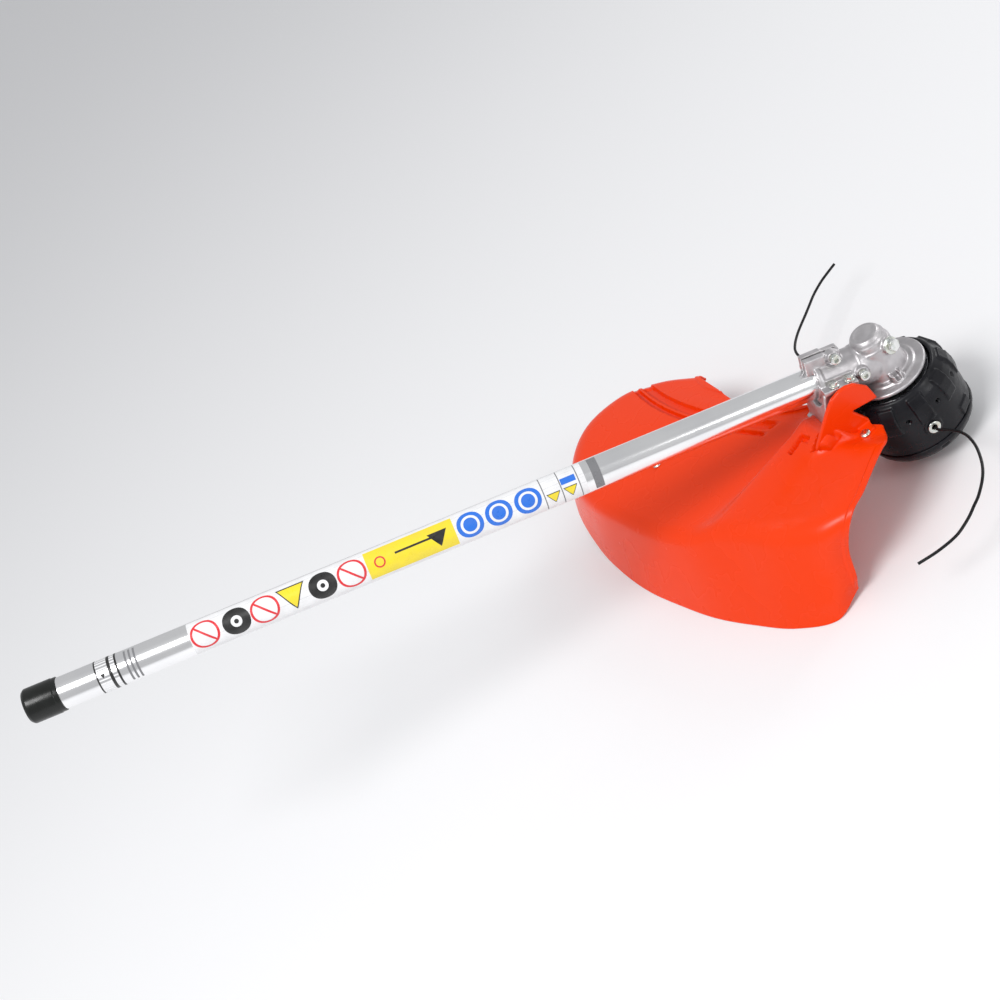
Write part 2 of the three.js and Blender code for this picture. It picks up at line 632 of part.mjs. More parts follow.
// One rib of the guard's skin: level by the bracket, sloping along the deck, round the shoulder and
// down the skirt.
function guardRib(inner, shoulder, rim) {
  const deckEnd = shoulder.clone().lerp(inner, SHOULDER_REACH / shoulder.distanceTo(inner));
  const skirtShare = Math.min(0.35, SKIRT_REACH / shoulder.distanceTo(rim));
  const skirtStart = shoulder.clone().lerp(rim, skirtShare);
  const bend = new THREE.QuadraticBezierCurve3(deckEnd, shoulder, skirtStart).getPoints(3);
  const deck = [0, DECK_SLOPE_START, 0.45, 0.7].map((share) => {
    const point = inner.clone().lerp(deckEnd, share);
    const slope = Math.max(0, (share - DECK_SLOPE_START) / (1 - DECK_SLOPE_START));
    point.z = THREE.MathUtils.lerp(inner.z, deckEnd.z, slope);
    return point;
  });
  const skirt = [1 / 3, 2 / 3, 1].map((share) => skirtStart.clone().lerp(rim, share));
  for (const point of skirt) point.z = Math.max(point.z, GROUND);
  return [...deck, ...bend, ...skirt];
}

function guardSkin() {
  const columns = 2 * GUARD_STATIONS.length - 1;
  const [inner, shoulder, rim] = ['inner', 'shoulder', 'rim'].map((edge) => {
    const points = GUARD_STATIONS.map((station) => asPoint(station[edge]));
    return new THREE.CatmullRomCurve3(points, false, 'centripetal');
  });
  const ribs = [];
  for (let i = 0; i < columns; i += 1) {
    const share = i / (columns - 1);
    ribs.push(guardRib(inner.getPoint(share), shoulder.getPoint(share), rim.getPoint(share)));
  }
  return ribs;
}

function skinNormal(ribs, i, j) {
  const [before, after] = [ribs[Math.max(i - 1, 0)], ribs[Math.min(i + 1, ribs.length - 1)]];
  const across = after[j].clone().sub(before[j]);
  const rib = ribs[i];
  const along = rib[Math.min(j + 1, rib.length - 1)].clone().sub(rib[Math.max(j - 1, 0)]);
  return across.cross(along).normalize();
}

// The guard is a skin of even thickness, closed round its four edges. The rim is cut level, so it is
// thickened sideways there.
function guardShell() {
  const ribs = guardSkin();
  const last = ribs[0].length - 1;
  const inside = ribs.map((rib, i) => rib.map((point, j) => {
    const normal = skinNormal(ribs, i, j);
    if (normal.z < 0) normal.negate();
    if (j === last) {
      normal.z = 0;
      normal.normalize();
    }
    return point.clone().addScaledVector(normal, -DECK_THICKNESS);
  }));
  const loops = ribs.map((rib, i) => (
    [...rib, ...[...inside[i]].reverse()].map((point) => point.toArray())));
  return cappedLoft(loops);
}

// ---- guard bracket, bolts and line knife --------------------------------------------------------

const FOOT = { rear: -80, front: -51, half: 24, top: -19.4 };
const BOX_HALF = 22;
const BOX_WALL = 4.5;
const FOOT_BOLTS = [[-58, -19.5], [-58, 19.5], [-74, -19.5], [-74, 19.5]];
const GUARD_SCREW = [-45, -37.5];
const KNIFE = { place: [-192, 104], seat: -30.6, foot: -38.4, edge: -62 };

// A cast box under the sleeve, open below and cut away round the sleeve and the gear chamber.
function guardBracket() {
  const side = new THREE.Shape();
  const corners = [
    [-53.5, 17.3], [-25.7, 8.1], [-24, -6.8], [-35, -10.9], [-50, -14.5], [-50, BRACKET_FOOT],
    [-78, BRACKET_FOOT], [-74, -6]];
  side.setFromPoints(corners.map(([x, z]) => new THREE.Vector2(x, z)));
  const body = extrudedAcross(side, BOX_HALF);
  const foot = block(FOOT.rear, FOOT.front, -FOOT.half, FOOT.half, BRACKET_FOOT, FOOT.top);
  const pocket = new THREE.Shape();
  const hollow = [
    [-51, 12.5], [-30, 5.5], [-29, -5], [-46, -10.5], [-54, -15.5], [-54, -30], [-73, -30], [-69, -6]];
  pocket.setFromPoints(hollow.map(([x, z]) => new THREE.Vector2(x, z)));
  const sleeveRoom = leaned(alongTube(rod(SLEEVE_RADIUS + 2.2, -90, 0, 28)));
  const chamberRoom = rod(18.7, -40, 30, 24);
  const flangeHoles = GUARD_BOLTS.map(([x, y]) => leaned(rod(BOLT_HOLE, -8, 2, 12).translate(x, y, 0)));
  const footHoles = FOOT_BOLTS.map(([x, y]) => rod(BOLT_HOLE, -26, -18, 12).translate(x, y, 0));
  return cut(
    joined(body, foot), extrudedAcross(pocket, BOX_HALF - BOX_WALL), sleeveRoom, chamberRoom,
    ...flangeHoles, ...footHoles);
}

function lineKnife() {
  const foot = block(-9, 9, -8, 9, KNIFE.foot - 1.6, KNIFE.foot);
  const blade = block(-11, 11, 7.4, 9, KNIFE.edge, KNIFE.foot);
  const hole = rod(BOLT_HOLE, -60, -30, 12);
  const turn = Math.PI / 2 - Math.atan2(KNIFE.place[1], -KNIFE.place[0]);
  return cut(joined(foot, blade), hole).rotateZ(turn).translate(...KNIFE.place, 0);
}

piece(upright, 'guard_bracket', guardBracket(), castAluminium);
GUARD_BOLTS.forEach(([x, y], i) => {
  const bolt = hexFlangeBolt(5.4, 4, BOLT_HOLE - GAP, 9).translate(x, y, GUARD_FLANGE.top + GAP);
  piece(tubeLine, `bracket_bolt_${i + 1}`, bolt, zincSteel);
});
FOOT_BOLTS.forEach(([x, y], i) => {
  const underside = DECK_TOP - DECK_THICKNESS - 2 * GAP;
  const bolt = panScrew(4.6, 3, 7).rotateX(Math.PI).translate(x, y, underside);
  piece(upright, `guard_bolt_${i + 1}`, bolt, zincSteel);
});
piece(upright, 'guard_screw', panScrew(4.4, 2.4, 8).translate(...GUARD_SCREW, DECK_TOP + GAP), zincSteel);
piece(upright, 'knife_screw', panScrew(4, 2.2, 12).translate(...KNIFE.place, KNIFE.seat + GAP), zincSteel);
piece(upright, 'line_knife', lineKnife(), darkSteel);

function guardWithHoles() {
  const holes = [...FOOT_BOLTS, GUARD_SCREW, KNIFE.place].map(([x, y]) => (
    rod(BOLT_HOLE + GAP, -50, -10, 12).translate(x, y, 0)));
  const knifeSeat = rod(4.8, KNIFE.seat, KNIFE.seat + 10, 16).translate(...KNIFE.place, 0);
  return cut(guardShell(), ...holes, knifeSeat);
}

piece(upright, 'guard_shell', guardWithHoles(), orangePlastic);

// ---- frame origin -------------------------------------------------------------------------------

const LINES = ['cutting_line_right', 'cutting_line_left'];

function footprint() {
  attachment.updateMatrixWorld(true);
  const box = new THREE.Box3();
  attachment.traverse((node) => {
    if (node.isMesh && !LINES.includes(node.name)) box.expandByObject(node, true);
  });
  return box;
}

const around = footprint();
const centre = around.getCenter(new THREE.Vector3());
attachment.position.set(-centre.x, -centre.y, -around.min.z);

export default attachment;
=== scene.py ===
"""Looks of the brush cutter attachment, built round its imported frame.

Shapes are given in millimetres in one of two local frames that share the gearcase centre as their
origin: UPRIGHT has +Z up the output axis, and LEANED has +X along the tube towards the head.
"""
import math

import bmesh
import bpy
import numpy as np
from mathutils import Matrix, Vector


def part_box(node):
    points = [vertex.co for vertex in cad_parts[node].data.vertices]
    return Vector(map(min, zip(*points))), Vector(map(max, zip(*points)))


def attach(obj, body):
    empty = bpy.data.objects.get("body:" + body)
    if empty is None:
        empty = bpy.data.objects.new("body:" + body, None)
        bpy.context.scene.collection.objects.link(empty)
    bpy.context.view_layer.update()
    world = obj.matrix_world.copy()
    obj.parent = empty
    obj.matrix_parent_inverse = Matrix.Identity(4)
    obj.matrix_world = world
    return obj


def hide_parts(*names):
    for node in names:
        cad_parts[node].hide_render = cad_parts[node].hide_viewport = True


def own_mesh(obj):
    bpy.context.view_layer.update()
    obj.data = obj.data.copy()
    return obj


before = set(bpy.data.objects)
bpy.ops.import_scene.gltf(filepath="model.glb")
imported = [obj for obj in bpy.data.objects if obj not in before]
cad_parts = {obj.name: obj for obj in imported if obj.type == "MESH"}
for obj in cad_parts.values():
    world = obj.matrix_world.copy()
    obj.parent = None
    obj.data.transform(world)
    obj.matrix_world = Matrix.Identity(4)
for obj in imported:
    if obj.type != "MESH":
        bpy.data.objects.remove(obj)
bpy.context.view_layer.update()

MM = 0.001
LEAN = math.radians(18.5)
SHAFT_TOP = 18 * MM  # top of the output shaft above the gearcase centre

shaft_low, shaft_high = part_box("output_shaft")
GEARCASE_CENTRE = Vector((
    (shaft_low.x + shaft_high.x) / 2, (shaft_low.y + shaft_high.y) / 2, shaft_high.z - SHAFT_TOP))
UPRIGHT = Matrix.Translation(GEARCASE_CENTRE) @ Matrix.Scale(MM, 4)
LEANED = UPRIGHT @ Matrix.Rotation(LEAN, 4, "Y")
ALONG_X = Matrix.Rotation(math.pi / 2, 4, "Y")
GROUND = -95.0


# ---- camera, lights and floor ----

LENS = 63
SENSOR = 36
CAMERA_PLACE = (-118.3, -1095.7, 852.7)  # in the upright frame
CAMERA_RIGHT = (0.7846, -0.2562, -0.5646)
CAMERA_BACK = (0.1324, -0.8204, 0.5562)
FLOOR_REACH = 6.0
FLOOR_GAP = 0.0004  # keeps the floor clear of the faces that rest on it


def scene_object(name, data):
    """A new object in the scene."""
    made = bpy.data.objects.new(name, data)
    bpy.context.scene.collection.objects.link(made)
    return made


def add_camera():
    data = bpy.data.cameras.new("camera")
    data.lens = LENS
    data.sensor_width = SENSOR
    data.clip_end = 20
    camera = scene_object("camera", data)
    right = Vector(CAMERA_RIGHT).normalized()
    back = Vector(CAMERA_BACK).normalized()
    up = back.cross(right)
    turn = Matrix((right, up, back)).transposed().to_4x4()
    camera.matrix_world = Matrix.Translation(UPRIGHT @ Vector(CAMERA_PLACE)) @ turn
    bpy.context.scene.camera = camera


def add_area_light(name, place, size, power):
    """A soft light that points at the origin."""
    data = bpy.data.lights.new(name, "AREA")
    data.shape = "RECTANGLE"
    data.size, data.size_y = size
    data.energy = power
    light = scene_object(name, data)
    light.location = place
    light.rotation_euler = (-Vector(place)).to_track_quat("-Z", "Y").to_euler()


def add_surroundings():
    world = bpy.data.worlds.new("studio")
    world.use_nodes = True
    background = world.node_tree.nodes["Background"]
    background.inputs["Color"].default_value = (0.97, 0.98, 1.0, 1)
    background.inputs["Strength"].default_value = 0.55
    bpy.context.scene.world = world
    bpy.context.scene.view_settings.view_transform = "Standard"
    add_area_light("key", (-0.6, -0.9, 1.9), (0.9, 0.7), 26)
    add_area_light("fill", (1.5, -1.4, 0.9), (0.7, 0.9), 7)
    add_area_light("rim", (1.7, 0.7, 0.8), (0.8, 0.5), 6)


def add_floor():
    mesh = bpy.data.meshes.new("floor")
    signs = [(-1, -1), (1, -1), (1, 1), (-1, 1)]
    mesh.from_pydata([(x * FLOOR_REACH, y * FLOOR_REACH, 0) for x, y in signs], [], [(0, 1, 2, 3)])
    floor = scene_object("floor", mesh)
    floor.location.z = -FLOOR_GAP
    material, shader, _ = new_material("studio_floor")
    shader.inputs["Base Color"].default_value = (0.88, 0.88, 0.89, 1)
    shader.inputs["Roughness"].default_value = 0.7
    mesh.materials.append(material)


# ---- materials ----

WORN_POINTINESS = (0.505, 0.56)  # from where an edge starts to wear to where it is bare
WORN_PATCHES = (0.42, 0.6)  # the same for the noise that breaks the wear up


def new_material(name):
    material = bpy.data.materials.new(name)
    material.use_nodes = True
    shader = material.node_tree.nodes["Principled BSDF"]
    return material, shader, material.node_tree


def link(tree, source, target):
    tree.links.new(source, target)


def local_coordinates(tree, stretch=(1, 1, 1), turn=(0, 0, 0)):
    """Object coordinates, turned and then stretched, for patterns with a direction."""
    coordinates = tree.nodes.new("ShaderNodeTexCoord")
    mapping = tree.nodes.new("ShaderNodeMapping")
    mapping.vector_type = "TEXTURE"  # turns first and then stretches
    mapping.inputs["Rotation"].default_value = turn
    mapping.inputs["Scale"].default_value = [1 / factor for factor in stretch]
    link(tree, coordinates.outputs["Object"], mapping.inputs["Vector"])
    return mapping.outputs["Vector"]


def noise(tree, vector, scale, detail):
    node = tree.nodes.new("ShaderNodeTexNoise")
    node.inputs["Scale"].default_value = scale
    node.inputs["Detail"].default_value = detail
    link(tree, vector, node.inputs["Vector"])
    return node.outputs["Fac"]


def spread(tree, value, low, high, start=0.3, end=0.7):
    """Map a noise value from start..end on to low..high."""
    node = tree.nodes.new("ShaderNodeMapRange")
    node.interpolation_type = "SMOOTHSTEP"
    node.inputs["From Min"].default_value = start
    node.inputs["From Max"].default_value = end
    node.inputs["To Min"].default_value = low
    node.inputs["To Max"].default_value = high
    link(tree, value, node.inputs["Value"])
    return node.outputs["Result"]


def blend_colors(tree, value, first, second):
    """Mix two colours. The first may be another node's output."""
    node = tree.nodes.new("ShaderNodeMix")
    node.data_type = "RGBA"
    if isinstance(first, bpy.types.NodeSocket):
        link(tree, first, node.inputs["A"])
    else:
        node.inputs["A"].default_value = (*first, 1)
    node.inputs["B"].default_value = (*second, 1)
    link(tree, value, node.inputs["Factor"])
    return node.outputs["Result"]


def add_bump(tree, shader, height, strength, distance):
    bump = tree.nodes.new("ShaderNodeBump")
    bump.inputs["Strength"].default_value = strength
    bump.inputs["Distance"].default_value = distance
    link(tree, height, bump.inputs["Height"])
    link(tree, bump.outputs["Normal"], shader.inputs["Normal"])


def edge_wear(tree, vector):
    """1 on worn convex edges and 0 elsewhere, broken up by noise."""
    geometry = tree.nodes.new("ShaderNodeNewGeometry")
    edge = spread(tree, geometry.outputs["Pointiness"], 0, 1, *WORN_POINTINESS)
    patches = spread(tree, noise(tree, vector, 220, 4), 0, 1, *WORN_PATCHES)
    product = tree.nodes.new("ShaderNodeMath")
    product.operation = "MULTIPLY"
    link(tree, edge, product.inputs[0])
    link(tree, patches, product.inputs[1])
    return product.outputs["Value"]


def grained(name, colors, roughness, metallic=0.0, *, grain, depth, tone, wear=None, specular=0.5):
    """A moulded, cast or plated surface: mottled tone, uneven gloss, fine grain and worn edges."""
    material, shader, tree = new_material(name)
    vector = local_coordinates(tree)
    color = blend_colors(tree, spread(tree, noise(tree, vector, tone, 5), 0, 1), *colors)
    if wear:
        color = blend_colors(tree, edge_wear(tree, vector), color, wear)
    link(tree, color, shader.inputs["Base Color"])
    gloss = spread(tree, noise(tree, vector, tone * 3, 4), *roughness)
    link(tree, gloss, shader.inputs["Roughness"])
    shader.inputs["Metallic"].default_value = metallic
    shader.inputs["Specular IOR Level"].default_value = specular
    add_bump(tree, shader, noise(tree, vector, grain, 2), 0.6, depth * MM)
    return material


def drawn_aluminium():
    """Bright drawn tube: fine scratches along its length and faint handling marks."""
    material, shader, tree = new_material("drawn_aluminium")
    along = local_coordinates(tree, stretch=(6, 900, 900), turn=(0, LEAN, 0))
    streaks = noise(tree, along, 1.0, 4)
    marks = noise(tree, local_coordinates(tree), 25, 5)
    color = blend_colors(tree, spread(tree, marks, 0, 1), (0.90, 0.90, 0.91), (0.96, 0.96, 0.96))
    link(tree, color, shader.inputs["Base Color"])
    link(tree, spread(tree, streaks, 0.16, 0.24), shader.inputs["Roughness"])
    shader.inputs["Metallic"].default_value = 1.0
    shader.inputs["Anisotropic"].default_value = 0.3
    add_bump(tree, shader, streaks, 0.15, 0.01 * MM)
    return material


def guard_plastic():
    """Glossy injection-moulded polypropylene: faint flow marks and a soft orange peel."""
    material, shader, tree = new_material("guard_plastic")
    vector = local_coordinates(tree)
    flow = noise(tree, local_coordinates(tree, stretch=(14, 5, 9), turn=(0, 0, 0.5)), 1.0, 2)
    color = blend_colors(tree, spread(tree, flow, 0, 1), (0.86, 0.044, 0.001), (0.87, 0.046, 0.001))
    link(tree, color, shader.inputs["Base Color"])
    link(tree, spread(tree, noise(tree, vector, 35, 2), 0.24, 0.30), shader.inputs["Roughness"])
    shader.inputs["Specular IOR Level"].default_value = 0.26
    add_bump(tree, shader, noise(tree, vector, 160, 1), 0.05, 0.02 * MM)
    return material


def label_print(name, color):
    """Printed vinyl film, a little uneven in gloss."""
    material, shader, tree = new_material(name)
    vector = local_coordinates(tree)
    worn = tuple(channel * 0.9 + 0.02 for channel in color)
    tint = blend_colors(tree, spread(tree, noise(tree, vector, 120, 5), 0, 1), color, worn)
    link(tree, tint, shader.inputs["Base Color"])
    link(tree, spread(tree, noise(tree, vector, 300, 3), 0.25, 0.4), shader.inputs["Roughness"])
    add_bump(tree, shader, noise(tree, vector, 900, 2), 0.2, 0.01 * MM)
    return material


def make_materials():
    pale = (0.62, 0.60, 0.61)
    return {
        "tube": drawn_aluminium(),
        "casting": grained("cast_aluminium", (pale, (0.50, 0.48, 0.49)), (0.34, 0.5), 0.9,
                           grain=1900, depth=0.05, tone=90, wear=(0.78, 0.77, 0.77)),
        "zinc": grained("zinc_plate", ((0.66, 0.70, 0.69), (0.72, 0.72, 0.62)), (0.18, 0.34), 1.0,
                        grain=2500, depth=0.01, tone=260, wear=(0.85, 0.85, 0.84)),
        "steel": grained("dark_steel", ((0.30, 0.31, 0.33), (0.20, 0.20, 0.22)), (0.25, 0.45), 1.0,
                         grain=2200, depth=0.02, tone=180, wear=(0.5, 0.5, 0.5)),
        "bearing": grained("bearing_steel", ((0.58, 0.60, 0.62), (0.5, 0.52, 0.54)), (0.15, 0.3), 1.0,
                           grain=2600, depth=0.01, tone=200),
        "black": grained("black_nylon", ((0.004, 0.004, 0.006), (0.008, 0.008, 0.011)), (0.26, 0.42),
                         grain=1600, depth=0.05, tone=70, wear=(0.02, 0.02, 0.024), specular=0.26),
        "cap": grained("cap_vinyl", ((0.006, 0.007, 0.006), (0.010, 0.011, 0.010)), (0.2, 0.32),
                       grain=700, depth=0.03, tone=50, wear=(0.02, 0.022, 0.02), specular=0.36),
        "rubber": grained("black_rubber", ((0.02, 0.02, 0.02), (0.03, 0.03, 0.03)), (0.6, 0.8),
                          grain=1200, depth=0.05, tone=80),
        "orange": guard_plastic(),
        "nylon": grained("grey_nylon", ((0.27, 0.28, 0.30), (0.22, 0.23, 0.25)), (0.4, 0.6),
                         grain=1400, depth=0.03, tone=80),
        "line": grained("line_nylon", ((0.004, 0.004, 0.005), (0.008, 0.008, 0.009)), (0.25, 0.4),
                        grain=900, depth=0.03, tone=150, specular=0.3),
        "white_print": label_print("print_white", (0.86, 0.86, 0.87)),
        "black_print": label_print("print_black", (0.012, 0.012, 0.012)),
        "grey_print": label_print("print_grey", (0.20, 0.20, 0.21)),
        "red_print": label_print("print_red", (0.75, 0.03, 0.04)),
        "yellow_print": label_print("print_yellow", (0.90, 0.72, 0.03)),
        "blue_print": label_print("print_blue", (0.02, 0.17, 0.72)),
    }


MATERIALS = make_materials()


# ---- mesh helpers ----

def finish_object(name, mesh, materials, body, replaced, sharp=35):
    """Link a mesh as a piece that rides on a body, with smooth faces and crisp edges."""
    for polygon in mesh.polygons:
        polygon.use_smooth = True
    mesh.set_sharp_from_angle(angle=math.radians(sharp))
    for key in materials:
        mesh.materials.append(MATERIALS[key])
    piece = scene_object(name, mesh)
    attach(piece, body)
    if replaced:
        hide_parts(*replaced)
    return piece


def mesh_from(form, matrix=None):
    """Turn a bmesh into a mesh, moved by the matrix if there is one."""
    if matrix is not None:
        form.transform(matrix)
    bmesh.ops.recalc_face_normals(form, faces=form.faces)
    mesh = bpy.data.meshes.new("mesh")
    form.to_mesh(mesh)
    form.free()
    return mesh


def rounded_profile(corners, radius, steps=4):
    """Round the inner corners of an open [radius, height] outline with arcs of up to the radius."""
    points = [Vector(corner) for corner in corners]
    result = [points[0]]
    for before, corner, after in zip(points, points[1:], points[2:]):
        one, two = before - corner, after - corner
        reach = min(radius, one.length * 0.45, two.length * 0.45)
        start, end = corner + one.normalized() * reach, corner + two.normalized() * reach
        for i in range(steps + 1):
            t = i / steps
            result.append((1 - t) ** 2 * start + 2 * t * (1 - t) * corner + t ** 2 * end)
    result.append(points[-1])
    return result


def add_turned(form, corners, sides=96, fillet=0.6, closed=False, place=None):
    """Add a solid of revolution about Z. A closed outline makes a ring; others end on the axis."""
    if closed:
        middle = (Vector(corners[0]) + Vector(corners[-1])) / 2
        corners = [middle, *corners, middle]
    outline = rounded_profile(corners, fillet)
    if closed:
        outline = outline[:-1]
    rings = []
    for radius, height in outline:
        if radius < 1e-6:
            rings.append([form.verts.new((0, 0, height))])
            continue
        turns = [2 * math.pi * i / sides for i in range(sides)]
        rings.append([form.verts.new((radius * math.cos(a), radius * math.sin(a), height)) for a in turns])
    pairs = list(zip(rings, rings[1:]))
    if closed:
        pairs.append((rings[-1], rings[0]))
    for lower, upper in pairs:
        for i in range(sides):
            j = (i + 1) % sides
            if len(lower) == 1:
                form.faces.new((lower[0], upper[i], upper[j]))
            elif len(upper) == 1:
                form.faces.new((lower[i], lower[j], upper[0]))
            else:
                form.faces.new((lower[i], lower[j], upper[j], upper[i]))
    if place is not None:
        bmesh.ops.transform(form, matrix=place, verts=[v for ring in rings for v in ring])


def add_rod(form, radius, bottom, top, place=None, sides=48, fillet=0.0):
    add_turned(form, [(0, bottom), (radius, bottom), (radius, top), (0, top)], sides, fillet, place=place)


def add_block(form, low, high, place=None):
    size = [b - a for a, b in zip(low, high)]
    middle = [(a + b) / 2 for a, b in zip(low, high)]
    matrix = Matrix.Translation(middle) @ Matrix.Diagonal((*size, 1))
    made = bmesh.ops.create_cube(form, size=1, matrix=matrix)
    if place is not None:
        bmesh.ops.transform(form, matrix=place, verts=made["verts"])


def add_hexagon(form, across_flats, bottom, top, place=None):
    middle = Matrix.Translation((0, 0, (bottom + top) / 2))
    radius = across_flats / math.sqrt(3)
    made = bmesh.ops.create_cone(
        form, cap_ends=True, segments=6, radius1=radius, radius2=radius, depth=top - bottom, matrix=middle)
    if place is not None:
        bmesh.ops.transform(form, matrix=place, verts=made["verts"])


def add_prism(form, outline, low, high):
    """Extrude a closed [x, z] outline along Y."""
    near = [form.verts.new((x, low, z)) for x, z in outline]
    far = [form.verts.new((x, high, z)) for x, z in outline]
    form.faces.new(near)
    form.faces.new(list(reversed(far)))
    for i in range(len(outline)):
        j = (i + 1) % len(outline)
        form.faces.new((near[j], near[i], far[i], far[j]))


def aimed(direction, place):
    """The matrix that turns +Z to a direction and puts the origin at a place."""
    turn = Vector((0, 0, 1)).rotation_difference(Vector(direction)).to_matrix().to_4x4()
    return Matrix.Translation(place) @ turn


def applied(mesh, add_modifiers):
    """The mesh after the modifiers that add_modifiers puts on a temporary object."""
    helper = scene_object("helper", mesh)
    add_modifiers(helper)
    bpy.context.view_layer.update()
    depsgraph = bpy.context.evaluated_depsgraph_get()
    result = bpy.data.meshes.new_from_object(helper.evaluated_get(depsgraph))
    bpy.data.objects.remove(helper)
    return result


def remeshed(mesh, voxel, smoothing):
    """One closed skin round overlapping solids, with its inner corners filled and its edges softened."""
    def modifiers(helper):
        fuse = helper.modifiers.new("fuse", "REMESH")
        fuse.mode = "VOXEL"
        fuse.voxel_size = voxel
        if smoothing:
            soften = helper.modifiers.new("soften", "SMOOTH")
            soften.factor = 0.5
            soften.iterations = smoothing
    return applied(mesh, modifiers)


def carved(mesh, tools):
    """The mesh with the tools' shapes cut out of it."""
    cutter = scene_object("cutter", tools)

    def modifiers(helper):
        carve = helper.modifiers.new("carve", "BOOLEAN")
        carve.operation = "DIFFERENCE"
        carve.solver = "EXACT"
        carve.use_self = True
        carve.object = cutter
    result = applied(mesh, modifiers)
    bpy.data.objects.remove(cutter)
    return result


def cast(solids, cavities, matrix, voxel, smoothing):
    """Fuse solids, carve cavities out of them, and soften the result like a casting or moulding."""
    mesh = remeshed(mesh_from(solids), voxel, 0)
    mesh = carved(mesh, mesh_from(cavities))
    mesh = remeshed(mesh, voxel, smoothing)
    mesh.transform(matrix)
    return mesh


# ---- tube, travel cap and label ----

TUBE_RADIUS = 12.7
TUBE_FRONT = -29.3
TUBE_REAR = -702.0
CAP_RADIUS = 14.0


def make_tube():
    form = bmesh.new()
    bore = TUBE_RADIUS - 1.5
    add_turned(form, [(bore, TUBE_REAR), (TUBE_RADIUS, TUBE_REAR), (TUBE_RADIUS, TUBE_FRONT),
                      (bore, TUBE_FRONT)], 128, 0.3, closed=True, place=ALONG_X)
    finish_object("tube_drawn", mesh_from(form, LEANED), ["tube"], "tool",
                  ["main_tube"])


def make_cap():
    form = bmesh.new()
    end = TUBE_REAR - 3
    bore = TUBE_RADIUS + 0.3
    outline = [
        (0, end + 0.6), (CAP_RADIUS - 5, end + 0.6), (CAP_RADIUS - 5.4, end), (CAP_RADIUS - 2.2, end),
        (CAP_RADIUS, end + 2.6), (CAP_RADIUS, end + 24), (CAP_RADIUS - 0.4, end + 24.6),
        (CAP_RADIUS - 0.4, end + 28), (bore, end + 28), (bore, TUBE_REAR - 0.3), (0, TUBE_REAR - 0.3)]
    add_turned(form, outline, 128, 0.9, place=ALONG_X)
    finish_object("travel_cap", mesh_from(form, LEANED), ["cap"], "tool",
                  ["tube_end_cap"])


LABEL_MATERIALS = ["white_print", "black_print", "grey_print", "red_print", "yellow_print", "blue_print"]
FILM = 0.05  # thickness of each layer of printed film
LABEL_TURN = math.radians(-55)  # the label's middle, round the tube from straight up


def add_film(form, color, layer, start, end, edges, steps=20):
    """Add a patch of film on the tube. edges(share) gives its lower and upper edge, as arc lengths."""
    radius = TUBE_RADIUS + FILM * layer
    count = 14
    top = []
    for i in range(steps + 1):
        share = i / steps
        low, high = edges(share)
        row = []
        for k in range(count + 1):
            angle = LABEL_TURN + (low + (high - low) * k / count) / TUBE_RADIUS
            place = start + (end - start) * share
            row.append((place, math.sin(angle), math.cos(angle)))
        top.append(row)

    def vertex(corner, r):
        return form.verts.new((corner[0], r * corner[1], r * corner[2]))
    outer = [[vertex(corner, radius) for corner in row] for row in top]
    inner = [[vertex(corner, TUBE_RADIUS - FILM) for corner in row] for row in top]
    faces = []
    for i in range(steps):
        for k in range(count):
            for grid in (outer, inner):
                faces.append((grid[i][k], grid[i + 1][k], grid[i + 1][k + 1], grid[i][k + 1]))
        for k in (0, count):
            faces.append((outer[i][k], outer[i + 1][k], inner[i + 1][k], inner[i][k]))
    for i in (0, steps):
        for k in range(count):
            faces.append((outer[i][k], outer[i][k + 1], inner[i][k + 1], inner[i][k]))
    for corners in faces:
        form.faces.new(corners).material_index = LABEL_MATERIALS.index(color)


def add_band(form, color, layer, start, end, low, high):
    add_film(form, color, layer, start, end, lambda share: (low, high), 2)


def add_disc(form, color, layer, place, radius):
    # Cosine spacing keeps the outline round at its two ends.
    count = 24
    for i in range(count):
        a, b = math.pi * i / count, math.pi * (i + 1) / count
        start, end = place - radius * math.cos(a), place - radius * math.cos(b)
        first, last = radius * max(math.sin(a), 0.02), radius * max(math.sin(b), 0.02)
        add_film(form, color, layer, start, end,
                 lambda share, p=first, q=last: (-(p + (q - p) * share), p + (q - p) * share), 1)


def add_triangle(form, color, layer, place, width, height, middle=0.0):
    """A triangle that points down round the tube."""
    def left(share):
        return (middle + height / 2 - height * max(share, 0.01), middle + height / 2)

    def right(share):
        return (middle + height / 2 - height * max(1 - share, 0.01), middle + height / 2)
    add_film(form, color, layer, place - width / 2, place, left)
    add_film(form, color, layer, place, place + width / 2, right)


def add_slash(form, color, layer, place, reach, width):
    def edges(share):
        middle = reach * (1 - 2 * share)
        return (middle - width / 2, middle + width / 2)
    add_film(form, color, layer, place - reach, place + reach, edges)


def add_red_ring(form, place):
    add_disc(form, "red_print", 2, place, 11.4)
    add_disc(form, "white_print", 3, place, 9.5)
    add_slash(form, "red_print", 4, place, 7.0, 2.4)


def add_black_disc(form, place):
    add_disc(form, "black_print", 2, place, 11)
    add_disc(form, "white_print", 3, place, 4.4)
    add_disc(form, "black_print", 4, place, 1.8)


def add_blue_disc(form, place):
    add_disc(form, "blue_print", 2, place, 10.6)
    add_disc(form, "white_print", 3, place, 7.4)
    add_disc(form, "blue_print", 4, place, 5.4)


